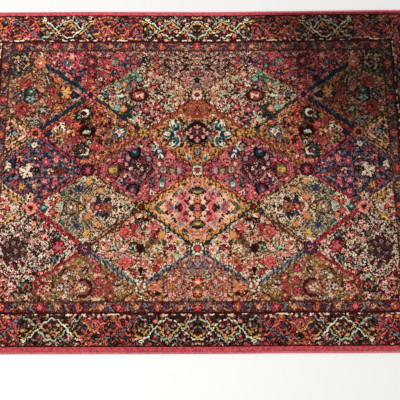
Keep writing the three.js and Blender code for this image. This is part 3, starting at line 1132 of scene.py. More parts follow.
def paint_star(cells, x, y, yarns):
    r = np.hypot(x, y)
    rim = 1 - 0.5 * np.abs(np.sin(np.arctan2(y, x) * 4))
    cells[r < rim] = yarns[0]
    cells[r < rim * 0.4] = yarns[-1]


def paint_cross(cells, x, y, yarns):
    """Four narrow petals crosswise."""
    r = np.hypot(x, y)
    wave = np.abs(np.cos(2 * np.arctan2(y, x)))
    cells[r < wave ** 1.5] = yarns[0]
    cells[r < wave ** 2.6 * 0.82] = yarns[1]
    if len(yarns) > 2:
        cells[r < wave ** 5 * 0.7] = yarns[2]


def paint_lens(cells, x, y, yarns):
    nested_rims(cells, y, 0.5 * (1 - x * x), (1.0, 0.7, 0.36), 0.05, yarns)


def paint_leaf(cells, x, y, yarns):
    """A leaf with a wavy rim and, with a third yarn, a midrib."""
    rim = 0.42 * (1 - x * x) * (1 + 0.18 * np.cos(x * 14))
    cells[np.abs(y) < rim] = yarns[0]
    cells[np.abs(y) < rim * 0.66 - 0.03] = yarns[1]
    if len(yarns) > 2:
        cells[(np.abs(y) < 0.08) & (np.abs(x) < 0.7)] = yarns[2]


def paint_comb(cells, x, y, yarns):
    """A leaf striped like a feather."""
    inside = np.abs(y) < 0.5 * (1 - x * x)
    stripes = np.cos(x * 11 + np.abs(y) * 9) > 0
    cells[inside] = yarns[0]
    cells[inside & stripes] = yarns[1]
    cells[inside & (np.abs(y) < 0.07)] = yarns[-1]


def paint_diamond(cells, x, y, yarns):
    nested(cells, np.abs(x) + np.abs(y), (1.0, 0.74, 0.36), yarns)


def paint_chevron(cells, x, y, yarns):
    r = x + np.abs(y) * 0.9
    inside = np.abs(y) < 1
    cells[inside & (np.abs(r - 0.5) < 0.42)] = yarns[0]
    cells[inside & (np.abs(r - 0.42) < 0.2)] = yarns[1]


def paint_drop(cells, x, y, yarns):
    rim = 0.62 * np.sqrt(np.clip(1 - x * x, 0, 1)) * (1 + x) / 1.4
    nested_rims(cells, y, rim, (1.0, 0.7, 0.4), 0.06, yarns)


def paint_curl(cells, x, y, yarns):
    """A tendril that winds outwards and tapers at both ends."""
    r = np.hypot(x, y)
    angle = np.arctan2(y, x)
    away = np.abs(r - (0.72 - 0.12 * angle))
    width = 0.26 * np.clip(1 - np.abs(angle) / 2.7, 0, 1) + 0.05
    cells[away < width] = yarns[0]
    cells[away < width * 0.5] = yarns[-1]


def paint_scroll(cells, x, y, yarns):
    """A stem in the shape of an S."""
    middle = 0.42 * np.sin(x * 3.6)
    away = np.abs(y - middle) / np.hypot(1, 1.5 * np.cos(x * 3.6))
    nested(cells, np.where(np.abs(x) < 0.96, away, 1.0), (0.18, 0.11), yarns)


def paint_moon(cells, x, y, yarns):
    r = np.hypot(x, y)
    hollow = np.hypot(x + 0.45, y)
    cells[(r < 1) & (hollow > 0.85)] = yarns[0]
    cells[(r < 0.86) & (hollow > 1.0)] = yarns[-1]


def paint_palm(cells, x, y, yarns):
    """A palmette: an oval with a cup, a heart and an eye."""
    body = np.hypot(x, y / 0.72)
    heart = np.hypot((x - 0.32) / 0.5, y / 0.3)
    cells[body < 1] = yarns[0]
    cells[body < 0.86] = yarns[1]
    cells[heart < 1] = yarns[2]
    cells[(body < 0.86) & (x < -0.3)] = yarns[-1]
    cells[np.hypot(x - 0.12, y) < 0.17] = yarns[3]


def paint_cee(cells, x, y, yarns):
    """A round that is open on one side like a C, with a bud in it."""
    r = np.hypot(x, y)
    open_side = np.abs(np.arctan2(y, x)) > 2.2
    cells[(r < 1) & ~(open_side & (r > 0.5))] = yarns[0]
    cells[r < 0.6] = yarns[1]
    cells[np.hypot(x + 0.1, y) < 0.28] = yarns[-1]


def paint_arc(cells, x, y, yarns):
    away = np.abs(np.hypot(x, y) - 0.9)
    cells[(away < 0.1) & (x > -0.1)] = yarns[0]
    if len(yarns) > 1:
        cells[(away < 0.045) & (x > -0.1)] = yarns[1]


def paint_bar(cells, x, y, yarns):
    inside = (np.abs(x) < 1) & (np.abs(y) < 0.13)
    cells[inside] = yarns[0]
    cells[inside & (np.abs(y) < 0.06)] = yarns[-1]


def paint_bone(cells, x, y, yarns):
    cells[(np.abs(x) < 1) & (np.abs(y) < 0.32 + 0.42 * x * x)] = yarns[0]


def paint_wide(cells, x, y, yarns):
    """A scalloped oval, wider along x."""
    r = np.hypot(x, y * 1.35)
    cells[r < 1 + 0.06 * np.cos(np.arctan2(y, x) * 10)] = yarns[0]
    cells[r < 0.82] = yarns[1]


def paint_patch(cells, x, y, yarns):
    """A ragged round of one yarn with flecks of another."""
    r = np.hypot(x, y)
    flecks = np.sin(x * 9 + y * 4) * np.sin(y * 8 - x * 3)
    cells[r < 1 + 0.14 * flecks] = yarns[0]
    cells[(r < 1) & (flecks > 0.35)] = yarns[-1]


def paint_mesh(cells, x, y, yarns):
    """A round of crossed lines, with the ground showing between them."""
    r = np.hypot(x, y)
    rising = np.abs(np.sin((x + y) * 13))
    falling = np.abs(np.sin((x - y) * 13))
    cells[(r < 1) & ((rising < 0.36) | (falling < 0.36))] = yarns[0]
    cells[(r < 1) & (rising > 0.9)] = yarns[1]


def paint_cap(cells, x, y, yarns):
    """A chequered block."""
    inside = (np.abs(x) < 0.75) & (np.abs(y) < 0.8)
    checks = np.sin(x * 12) * np.sin(y * 12)
    cells[inside] = yarns[0]
    cells[inside & (checks > 0)] = yarns[1]
    cells[inside & (checks > 0.6)] = yarns[2]


PAINTERS = {
    "disc": paint_disc, "dots": paint_dots, "ring": paint_ring, "star": paint_star,
    "cross": paint_cross, "lens": paint_lens, "leaf": paint_leaf, "comb": paint_comb,
    "diamond": paint_diamond, "chevron": paint_chevron, "drop": paint_drop,
    "curl": paint_curl, "scroll": paint_scroll, "moon": paint_moon, "palm": paint_palm,
    "cee": paint_cee, "arc": paint_arc, "bar": paint_bar, "bone": paint_bone,
    "wide": paint_wide, "patch": paint_patch, "mesh": paint_mesh, "cap": paint_cap,
    "flower4": paint_flower(4), "flower5": paint_flower(5), "flower6": paint_flower(6),
    "flower8": paint_flower(8),
}


def loosen(cells, along, across):
    """Draws the pattern a little out of true, as the outlines in a pile are."""
    x, y = np.meshgrid(along, np.abs(across))
    shift_x = WARP * (grain(x, y, 13.0, 71) + 0.7 * grain(x, y, 6.0, 72))
    shift_y = WARP * (grain(x, y, 13.0, 73) + 0.7 * grain(x, y, 6.0, 74))
    count_rows, count_columns = cells.shape
    columns = np.arange(count_columns)[None, :] + np.rint(shift_x / KNOT_ALONG).astype(int)
    rows = np.arange(count_rows)[:, None] + np.rint(shift_y / KNOT_ACROSS).astype(int)
    mirrored = np.abs(np.clip(columns, 1 - count_columns, count_columns - 1))
    return cells[np.clip(rows, 0, count_rows - 1), mirrored]


def speckle(cells, along, across):
    """Ties scattered knots in the darkest and palest shades of their yarn."""
    rows = [row.split() for row in SHADES.split("\n") if row]
    darker = np.array([YARN_NUMBER[row[1]] for row in rows], np.uint8)
    paler = np.array([YARN_NUMBER[row[2]] for row in rows], np.uint8)
    x, y = np.meshgrid(along, np.abs(across))
    fine = 0.75 * grain(x, y, 4.3, 81) + 0.55 * grain(x, y, 7.5, 82)
    spotted = np.where(fine < -SPECKLE_DARK, darker[cells], cells)
    return np.where(fine > SPECKLE_PALE, paler[cells], spotted)


def outline(cells, along, across):
    """Ties a dark knot at some of the places where a dark yarn meets a pale one."""
    light = yarn_colours().mean(axis=1)[cells]
    x, y = np.meshgrid(along, np.abs(across))
    kept = grain(x, y, 6.5, 61) > OUTLINE_LEVEL
    dark = np.where(grain(x, y, 17.0, 62) > 0, YARN_NUMBER["ink"], YARN_NUMBER["umber"])
    step_x = np.zeros(cells.shape)
    step_y = np.zeros(cells.shape)
    step_x[:, 1:-1] = light[:, 1:-1] - np.minimum(light[:, :-2], light[:, 2:])
    step_y[1:-1] = light[1:-1] - np.minimum(light[:-2], light[2:])
    edge = (np.maximum(step_x, step_y) > OUTLINE_STEP) & kept
    return np.where(edge, dark, cells).astype(np.uint8)


class Chart:
    """Yarn numbers of the knots at places along and across."""

    def __init__(self, along, across):
        self.along = along
        self.across = across
        self.cells = np.zeros((len(across), len(along)), np.uint8)

    def draw(self, kind, x, y, size, turn, yarns, side=1, keep=None):
        """Draws a motif, mirrored where side is minus one, on the knots to keep it to."""
        reach = size * MOTIF_MARGIN
        columns = slice(*np.searchsorted(self.along, (x - reach, x + reach)))
        rows = slice(*np.searchsorted(self.across, (y - reach, y + reach)))
        window = self.cells[rows, columns]
        if window.size == 0:
            return
        away_x = self.along[columns][None, :] - x
        away_y = (self.across[rows][:, None] - y) * side
        cosine = math.cos(math.radians(turn))
        sine = math.sin(math.radians(turn))
        own_x = (away_x * cosine + away_y * sine) / size
        own_y = (away_y * cosine - away_x * sine) / size
        drawn = window.copy()
        PAINTERS[kind](drawn, own_x, own_y, [YARN_NUMBER[name] for name in yarns])
        mask = True if keep is None else keep[rows, columns]
        window[...] = np.where(mask, drawn, window)


def motif_rows(text, split="\n"):
    """The motifs of a text, each as its kind, four numbers and yarns."""
    for row in text.split(split):
        words = row.split()
        if words:
            yield words[0], *(float(word) for word in words[1:5]), words[5:]


def yarn_sets(text):
    return [part.split() for part in text.split("/")]


def fill_ground(cells, x, y, ground, sets, seed, keep):
    """Fills a ground with fine vines and buds in the yarns of its sets."""
    far_x = x + GRAIN_START
    far_y = y + GRAIN_START
    vine = grain(far_x, far_y, VINE_SPACING, seed)
    vine = vine + 0.35 * grain(far_x, far_y, VINE_SPACING / 2, seed + 7)
    choice = grain(far_x, far_y, SET_SPACING, seed + 3)
    cells[keep] = YARN_NUMBER[ground]
    edges = np.linspace(-0.75, 0.75, len(sets) + 1)
    edges[0], edges[-1] = -9, 9
    for (dark, middle, light), low, high in zip(sets, edges[:-1], edges[1:]):
        here = keep & (choice >= low) & (choice < high)
        cells[here & (vine > BUD_LEVEL)] = YARN_NUMBER[middle]
        cells[here & (vine > 0) & (vine < VINE_EDGE)] = YARN_NUMBER[light]
        cells[here & (vine < -BUD_LEVEL)] = YARN_NUMBER[dark]
        cells[here & (np.abs(vine) < VINE_LEVEL)] = YARN_NUMBER[dark]


def scatter_florets(chart, x0, y0, reach, sets, rng, keep):
    """Scatters small flowers, leaves and curls over a panel, alike in its far and near half."""
    for step_x in np.arange(-PANEL_HALF_LENGTH, PANEL_HALF_LENGTH, FLORET_STEP_ALONG):
        for step_y in np.arange(4, reach, FLORET_STEP_ACROSS):
            along = step_x + rng.uniform(-6, 6)
            across = step_y + rng.uniform(-5, 5)
            yarns = sets[rng.integers(len(sets))]
            kind = FLORETS[rng.integers(len(FLORETS))]
            size = rng.uniform(6, 9.5)
            turn = rng.uniform(0, 180)
            for side in (1, -1):
                chart.draw(kind, x0 + along, y0 + across * side, size, turn, yarns, side, keep)


def edge_bands(cells, u, v, depth, keep, seed, bands):
    """Edges the four sides of a panel with bands of yarn, crossed by dark beads."""
    if len(bands) == 2:
        bands = bands + bands
    far_u = u + BAND_GRAIN_START
    wavy = depth + 1.3 * grain(far_u, np.abs(v) + BAND_GRAIN_START, 8.0, seed + 5)
    wander = 3 * grain(far_u, v + BAND_GRAIN_START, 30.0, seed + 6)
    slanted = u + v * np.sign(u * v + 0.1) * 0.3
    beads = np.cos(slanted * 2 * math.pi / BEAD_PITCH + wander) < BEAD_LEVEL
    left, far = u <= 0, v >= 0
    quarters = (left & far, ~left & far, left & ~far, ~left & ~far)
    for band, quarter in zip(bands, quarters):
        words = band.split()
        start = PANEL_RIM
        for name, width in zip(words[::2], words[1::2]):
            stop = start + max(1.6, float(width) * BAND_SHARE)
            cells[keep & quarter & (wavy > start) & (wavy <= stop)] = YARN_NUMBER[name]
            start = stop
        crossed = keep & quarter & (wavy > PANEL_RIM) & (wavy <= start) & beads
        cells[crossed] = YARN_NUMBER["umber"]


def paint_panel(chart, column, row, inner):
    """Paints one lozenge of the lattice: its ground, florets, motifs and bands."""
    x0 = column * PANEL_HALF_LENGTH
    y0 = ROW_PLACES[row]
    u = chart.along[None, :] - x0
    v = chart.across[:, None] - y0
    half = np.where(v > 0, ROW_PLACES[row + 1] - y0, y0 - ROW_PLACES[row - 1])
    ragged = 0.012 * np.sin(u / 9 + row) + 0.012 * np.cos(v / 8 + column)
    depth = (1 - np.abs(u) / PANEL_HALF_LENGTH - np.abs(v) / half + ragged) * PANEL_DEPTH
    inside = (depth > PANEL_RIM) & inner
    ground, fillers = GROUNDS[(column, row)]
    seed = 100 + column * 11 + row
    sets = yarn_sets(fillers)
    fill_ground(chart.cells, u, np.abs(v), ground, sets, seed, inside)
    scatter_florets(chart, x0, y0, half.max(), sets, np.random.default_rng(seed), inside)
    for kind, along, across, size, turn, yarns in motif_rows(MOTIFS[(column, row)]):
        sides = (1, -1) if across > 0 and (column, row) not in UNEVEN_PANELS else (1,)
        for side in sides:
            chart.draw(kind, x0 + along, y0 + across * side, size, turn, yarns, side, inside)
    edge_bands(chart.cells, u, v, depth, inside, seed, BANDS[(column, row)].split("/"))


def paint_field(chart):
    """Paints the panels, and the rosettes over their corners."""
    inner = chart.along[None, :] < FIELD_HALF_LENGTH
    inner = inner & (np.abs(chart.across[:, None]) < FIELD_HALF_WIDTH)
    for column, row in GROUNDS:
        paint_panel(chart, column, row, inner)
    for (column, row), text in NODES.items():
        for kind, along, across, size, turn, yarns in motif_rows(text, "/"):
            x = column * PANEL_HALF_LENGTH + along
            chart.draw(kind, x, ROW_PLACES[row] + across, size, turn, yarns, keep=inner)


def new_tile(repeat, columns, near, far):
    """An empty chart for one repeat of a border, its rows running in from the rug's edge."""
    along = np.arange(0.5, columns) * repeat / columns
    return Chart(along, np.arange(near + TILE_KNOT / 2, far, TILE_KNOT))


def has_dark_ground(along):
    """Whether the main border's ground is dark at a place along its repeat."""
    return np.logical_or.reduce([(along > start) & (along < stop) for start, stop in DARK_PARTS])


def paint_vine(cells, x, y, row):
    """Paints a wavy vine of one yarn with a dark outline along the main border."""
    yarn, *numbers = row.split()
    width, middle, height, waves, phase, start, stop = (float(number) for number in numbers)
    pitch = 2 * math.pi * waves / BORDER_REPEAT
    angle = x * pitch + math.radians(phase)
    ripple = 3 * np.sin(x * 2 * math.pi * 16 / BORDER_REPEAT)
    slope = np.hypot(1, height * pitch * np.cos(angle))
    away = np.abs(y - middle - height * np.sin(angle) - ripple) / slope
    here = (x >= start) & (x < stop)
    cells[here & (away < width / 2 + 2.2)] = YARN_NUMBER["ink"]
    cells[here & (away < width / 2 + 0.3)] = YARN_NUMBER[yarn]


def border_tile():
    """Paints one repeat of the main border."""
    tile = new_tile(BORDER_REPEAT, BORDER_COLUMNS, BORDER_NEAR, BORDER_FAR)
    x, y = np.meshgrid(tile.along, tile.across)
    dark = has_dark_ground(x + 9 * np.sin(y / 13))
    fill_ground(tile.cells, x, y, "ink", yarn_sets(DARK_SETS), 201, dark)
    fill_ground(tile.cells, x, y, "brick", yarn_sets(RED_SETS), 202, ~dark)
    rng = np.random.default_rng(31)
    for place in np.arange(4, BORDER_REPEAT, 17.0):
        for inward in np.arange(32, BORDER_FAR, 15.0):
            along = place + rng.uniform(-4, 4)
            sets = yarn_sets(DARK_SETS if has_dark_ground(along) else RED_SETS)
            yarns = sets[rng.integers(len(sets))]
            kind = BORDER_FLORETS[rng.integers(len(BORDER_FLORETS))]
            tile.draw(kind, along, inward, rng.uniform(6, 9), rng.uniform(0, 180), yarns)
    for shift in (-BORDER_REPEAT, 0, BORDER_REPEAT):
        for kind, along, inward, size, turn, yarns in motif_rows(BORDER_MOTIFS + BORDER_SCROLLS):
            tile.draw(kind, along + shift, inward, size, turn, yarns)
    for row in BORDER_VINES.strip().split("\n"):
        paint_vine(tile.cells, x, y, row)
    pale = y > PALE_LINE + 1.5 * np.sin(x / 5)
    dash = grain(x, y * 0, 9.0, 211)
    tile.cells[pale] = YARN_NUMBER["umber"]
    tile.cells[pale & (dash > -0.1)] = YARN_NUMBER["blush"]
    tile.cells[pale & (dash > 0.3)] = YARN_NUMBER["cream"]
    tile.cells[pale & (grain(x, y * 0, 23.0, 212) > 0.3)] = YARN_NUMBER["maroon"]
    return tile


def guard_tile():
    """Paints one repeat of the guard border."""
    tile = new_tile(GUARD_REPEAT, GUARD_COLUMNS, GUARD_NEAR, GUARD_FAR)
    x, y = np.meshgrid(tile.along, tile.across)
    everywhere = np.ones(tile.cells.shape, bool)
    fill_ground(tile.cells, x, y, "plum", yarn_sets(GUARD_SETS), 203, everywhere)
    middle = GUARD_MIDDLE + 11 * np.sin(x * 4 * math.pi / GUARD_REPEAT)
    tile.cells[np.abs(middle - y) < 2.4] = YARN_NUMBER["rust"]
    for shift in (0, GUARD_REPEAT):
        for kind, along, inward, size, turn, yarns in motif_rows(GUARD_MOTIFS):
            tile.draw(kind, along + shift, inward, size, turn, yarns)
    return tile


def edge_inset(chart):
    """How far each knot is from the rug's end and from its long edge."""
    from_end = RUG_HALF_LENGTH - chart.along[None, :]
    from_side = RUG_HALF_WIDTH - np.abs(chart.across[:, None])
    return from_end, from_side


def lay_tile(chart, tile, repeat, along, inset, keep):
    """Lays a border's repeat along one side, as far as the mitred corners."""
    rows, columns = tile.cells.shape
    column = np.floor((along % repeat) / repeat * columns).astype(int)
    row = ((inset - tile.across[0] + 1) / TILE_KNOT).astype(int)
    laid_cells = tile.cells[np.clip(row, 0, rows - 1), column]
    chart.cells[keep] = laid_cells[keep]


def paint_borders(chart):
    """Paints both borders along the sides and, fitted to their length, across the ends."""
    from_end, from_side = edge_inset(chart)
    inset = np.minimum(from_end, from_side)
    on_side = from_side <= from_end
    x, y = np.meshgrid(chart.along, np.abs(chart.across))
    end_stretch = BORDER_REPEAT / BORDER_END_REPEAT
    end_place = y * end_stretch + BORDER_REPEAT / 2
    main, guard = border_tile(), guard_tile()
    in_main = (inset >= BORDER_NEAR) & (inset < BORDER_FAR)
    in_guard = (inset >= BORDER_FAR) & (inset < np.where(on_side, GUARD_FAR, GUARD_END_FAR))
    lay_tile(chart, main, BORDER_REPEAT, x, from_side + 0 * x, in_main & on_side)
    lay_tile(chart, main, BORDER_REPEAT, end_place, from_end + 0 * x, in_main & ~on_side)
    lay_tile(chart, guard, GUARD_REPEAT, x, from_side + 0 * x, in_guard & on_side)
    lay_tile(chart, guard, GUARD_REPEAT, y, from_end + 0 * x, in_guard & ~on_side)


def paint_stripes(chart):
    """Plain lines between the borders, which stay straight."""
    from_end, from_side = edge_inset(chart)
    inset = np.minimum(from_end, from_side)
    x, y = np.meshgrid(chart.along, np.abs(chart.across))
    numbers = YARN_NUMBER
    uneven = inset + 0.8 * grain(x, y, 9.0, 91)
    between = (uneven >= BORDER_FAR) & (uneven < GUARD_NEAR)
    chart.cells[between] = numbers["maroon"]
    chart.cells[between & (grain(x, y, 5.0, 92) < 0.1)] = numbers["ink"]
    limit = np.where(from_side < from_end, GUARD_FAR, GUARD_END_FAR)
    chart.cells[(uneven >= limit - 2.5) & (uneven < limit)] = numbers["umber"]
    outer = inset < BORDER_NEAR
    chart.cells[outer] = numbers["maroon"]
    chart.cells[outer & (grain(x, y, 5.0, 93) < -0.1)] = numbers["ink"]
    edge = inset < EDGE_STRIPE
    whole_y = chart.across[:, None] + 0 * x
    chart.cells[edge] = numbers["crimson"]
    chart.cells[edge & (grain(x, whole_y, 2.9, 94) > -0.2)] = numbers["rose"]


def paint_chart():
    """The yarn numbers of every knot of the rug, mirrored about the middle of its length."""
    along = (np.arange(CHART_COLUMNS) + 0.5) * KNOT_ALONG
    across = (np.arange(CHART_ROWS) + 0.5) * KNOT_ACROSS + CHART_NEAR_EDGE
    chart = Chart(along, across)
    paint_field(chart)
    paint_borders(chart)
    for finish in (loosen, outline, speckle):
        chart.cells = finish(chart.cells, along, across)
    paint_stripes(chart)
    return np.concatenate((chart.cells[:, ::-1], chart.cells), axis=1)


def yarn_colours():
    """Red, green and blue of each yarn, from 0 to 255."""
    return np.array([[float(word) for word in row[1:4]] for row in YARN_ROWS])


# How the rug lies: its two long edges wander from straight


def body_edge(sign):
    """Places along and across of the flat pile's far or near edge, from the rug body's solid."""
    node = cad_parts["rug_body"]
    mesh = node.data
    points = np.empty(len(mesh.vertices) * 3)
    mesh.vertices.foreach_get("co", points)
    points = points.reshape(-1, 3)
    top = points[points[:, 2] > points[:, 2].max() - 1e-5]
    straight = np.abs(top[:, 0]) < HALF_LENGTH - CORNER_RADIUS + 1e-4
    edge = top[straight & (top[:, 1] * sign > HALF_WIDTH / 2)]
    edge = edge[np.argsort(edge[:, 0])]
    return edge[:, 0], edge[:, 1]


FAR_ALONG, FAR_ACROSS = body_edge(1)
NEAR_ALONG, NEAR_ACROSS = body_edge(-1)


def laid(x, y):
    """The across place of a point of the straight rug, as the rug lies."""
    share = (y + HALF_WIDTH) / RUG_WIDTH
    reach = HALF_WIDTH - PILE_FLAT_INSET
    far = np.interp(x, FAR_ALONG, FAR_ACROSS) - reach
    near = np.interp(x, NEAR_ALONG, NEAR_ACROSS) + reach
    return y + near * (1 - share) + far * share


def rounded(x, y):
    """Brings a point of a square corner onto the round corner of the same inset."""
    p = np.abs(x) - (HALF_LENGTH - CORNER_RADIUS)
    q = np.abs(y) - (HALF_WIDTH - CORNER_RADIUS)
    in_corner = (p > 1e-9) & (q > 1e-9)
    scale = np.where(in_corner, np.maximum(p, q) / np.maximum(np.hypot(p, q), 1e-9), 1.0)
    new_x = np.where(in_corner, np.sign(x) * (HALF_LENGTH - CORNER_RADIUS + p * scale), x)
    new_y = np.where(in_corner, np.sign(y) * (HALF_WIDTH - CORNER_RADIUS + q * scale), y)
    return new_x, new_y


# Meshes


def new_object(name, mesh):
    piece = bpy.data.objects.new(name, mesh)
    bpy.context.scene.collection.objects.link(piece)
    return piece


def ring_lines(half, rings, blocks):
    """The grid's lines from one side to the other: the rings' own, and the blocks' between."""
    block = 2 * (half - PILE_INSET) / blocks
    insets = [ring["inset"] for ring in rings]
    innermost = insets[-1] + 1e-4
    inner = [PILE_INSET + block * n for n in range(1, blocks)]
    left = [-(half - inset) for inset in insets]
    middle = [-(half - inset) for inset in inner if innermost < inset < 2 * half - innermost]
    right = [half - inset for inset in reversed(insets)]
    return np.array(left + middle + right)


def lines_from_edge(lines):
    """How many of the grid's lines each one is in from the nearer edge."""
    return np.minimum(np.arange(len(lines)), np.arange(len(lines))[::-1])


def drawn_in(places, half, inset):
    """Places on one axis, none of them nearer the rug's edge than its ring's inset."""
    return np.sign(places) * (half - np.maximum(half - np.abs(places), inset))


def knot_place(places, half, count):
    """Places on one axis, counted in knots from the pile's edge."""
    return np.clip((places + half - PILE_INSET) / (2 * (half - PILE_INSET)) * count, 0, count)


def grid_faces(count_y, count_x, upward):
    number = np.arange(count_x * count_y).reshape(count_y, count_x)
    order = (number[:-1, :-1], number[:-1, 1:], number[1:, 1:], number[1:, :-1])
    return np.stack(order if upward else order[::-1], axis=-1).reshape(-1, 4)


def chart_mesh(name, rings, flat_height, chart, upward, unevenness):
    """A grid over the rug with shaped edges. Each face knows the yarns of its block of knots."""
    rows, columns = chart.shape
    xs = ring_lines(HALF_LENGTH, rings, columns // BLOCK)
    ys = ring_lines(HALF_WIDTH, rings, rows // BLOCK)
    ring = np.minimum(lines_from_edge(xs)[None, :], lines_from_edge(ys)[:, None])
    slot = np.minimum(ring, len(rings))
    inset = np.array([r["inset"] for r in rings] + [0.0])[slot]
    z = np.array([r["height"] for r in rings] + [flat_height])[slot]
    x = drawn_in(xs[None, :], HALF_LENGTH, inset)
    y = drawn_in(ys[:, None], HALF_WIDTH, inset)
    u = knot_place(x, HALF_LENGTH, columns)
    v = knot_place(y, HALF_WIDTH, rows)
    if unevenness:
        z = z + unevenness * pile_lift(x, y) * (ring >= len(rings) - 1)
    x, y = rounded(x, y)
    vertices = np.stack((x, laid(x, y), z), axis=-1).reshape(-1, 3)
    faces = grid_faces(*x.shape, upward)
    mesh = bpy.data.meshes.new(name)
    mesh.from_pydata(vertices.tolist(), [], faces.tolist())
    store_knots(mesh, faces, u, v, chart)
    close_underside(mesh, len(xs), len(ys))
    return mesh


def store_knots(mesh, faces, u, v, chart):
    """Gives each corner its place in the knots, and each face the yarns of its block."""
    corner = faces.reshape(-1)
    knots = np.stack((u.reshape(-1)[corner], v.reshape(-1)[corner]), axis=-1)
    layer = mesh.uv_layers.new(name="knots")
    layer.data.foreach_set("uv", knots.astype(np.float32).reshape(-1))
    blocks = block_numbers(chart)
    middle = (knots.reshape(-1, 4, 2).mean(axis=1) / BLOCK).astype(int)
    column = np.clip(middle[:, 0], 0, blocks.shape[1] - 1)
    row = np.clip(middle[:, 1], 0, blocks.shape[0] - 1)
    yarns = mesh.attributes.new("yarns", "FLOAT_COLOR", "FACE")
    yarns.data.foreach_set("color", blocks[row, column].astype(np.float32).reshape(-1))


def block_numbers(chart):
    """Each block's yarns as four numbers, one a row of knots, with five bits for each knot."""
    rows, columns = chart.shape
    blocks = chart.reshape(rows // BLOCK, BLOCK, columns // BLOCK, BLOCK).astype(np.float64)
    packed = (blocks * float(YARN_LIMIT) ** np.arange(BLOCK)).sum(axis=3)
    return packed.transpose(0, 2, 1)


def close_underside(mesh, count_x, count_y):
    """Closes the open side of a grid with one face round its rim, and merges doubled points."""
    rim = [(0, i) for i in range(count_x)]
    rim += [(j, count_x - 1) for j in range(1, count_y)]
    rim += [(count_y - 1, i) for i in range(count_x - 2, -1, -1)]
    rim += [(j, 0) for j in range(count_y - 2, 0, -1)]
    shape = bmesh.new()
    shape.from_mesh(mesh)
    shape.verts.ensure_lookup_table()
    corners = [shape.verts[j * count_x + i] for j, i in rim]
    closing = shape.faces.new(corners[::-1])
    closing.normal_update()
    shared = closing.edges[0]
    starts = [loop.vert for face in shared.link_faces for loop in face.loops if loop.edge == shared]
    if starts[0] == starts[1]:
        closing.normal_flip()
    bmesh.ops.remove_doubles(shape, verts=shape.verts, dist=1e-6)
    shape.to_mesh(mesh)
    shape.free()
    mesh.polygons.foreach_set("use_smooth", [True] * len(mesh.polygons))
    mesh.update()


def pile_lift(x, y):
    """Slow unevenness of the pile's top, from minus one to one."""
    swell = np.sin(x * 9.0 + 1.3 * np.sin(y * 6.0)) * np.cos(y * 8.0 + 0.7)
    ripple = np.sin(x * 31.0 + y * 11.0) * np.sin(y * 27.0 - x * 7.0)
    rng = np.random.default_rng(5)
    return 0.55 * swell + 0.25 * ripple + 0.2 * rng.uniform(-1, 1, np.broadcast(x, y).shape)


# Materials


class Nodes:
    """Short calls that add nodes to one tree and link them."""

    def __init__(self, tree):
        self.tree = tree

    def add(self, kind, inputs=(), **settings):
        node = self.tree.nodes.new(kind)
        for name, value in settings.items():
            setattr(node, name, value)
        for key, value in dict(inputs).items():
            if isinstance(value, bpy.types.NodeSocket):
                self.tree.links.new(value, node.inputs[key])
            else:
                node.inputs[key].default_value = value
        return node

    def math(self, operation, first, second=0.0):
        inputs = {0: first, 1: second}
        return self.add("ShaderNodeMath", inputs, operation=operation).outputs[0]

    def ranged(self, value, source=(0.0, 1.0), target=(0.0, 1.0), ease="LINEAR"):
        """A value taken from one range to another."""
        inputs = {
            "Value": value, "From Min": source[0], "From Max": source[1],
            "To Min": target[0], "To Max": target[1],
        }
        return self.add("ShaderNodeMapRange", inputs, interpolation_type=ease).outputs[0]

    def noise(self, where, scale, detail, roughness=0.5):
        inputs = {"Vector": where, "Scale": scale, "Detail": detail, "Roughness": roughness}
        return self.add("ShaderNodeTexNoise", inputs).outputs["Fac"]

    def tinted(self, colour, factor):
        """A colour multiplied by a grey factor."""
        node = self.add("ShaderNodeVectorMath", {0: colour, 1: factor}, operation="MULTIPLY")
        return node.outputs[0]

    def bumped(self, shader, height, strength, distance):
        inputs = {"Height": height, "Strength": strength, "Distance": distance}
        bump = self.add("ShaderNodeBump", inputs)
        self.tree.links.new(bump.outputs[0], shader.inputs["Normal"])


def new_material(name, **values):
    """A material with one shader, whose own sockets take the values."""
    material = bpy.data.materials.new(name)
    material.use_nodes = True
    material.node_tree.nodes.clear()
    nodes = Nodes(material.node_tree)
    output = nodes.add("ShaderNodeOutputMaterial")
    shader = nodes.add("ShaderNodeBsdfPrincipled")
    for socket, value in values.items():
        shader.inputs[socket.replace("_", " ")].default_value = value
    nodes.tree.links.new(shader.outputs[0], output.inputs["Surface"])
    return material, nodes, shader


def around_one(amount):
    return 1 - amount, 1 + amount


def linear(channel):
    """A channel from 0 to 255, as the eye counts, in the renderer's own scale."""
    value = channel / 255
    return value / 12.92 if value <= 0.04045 else ((value + 0.055) / 1.055) ** 2.4


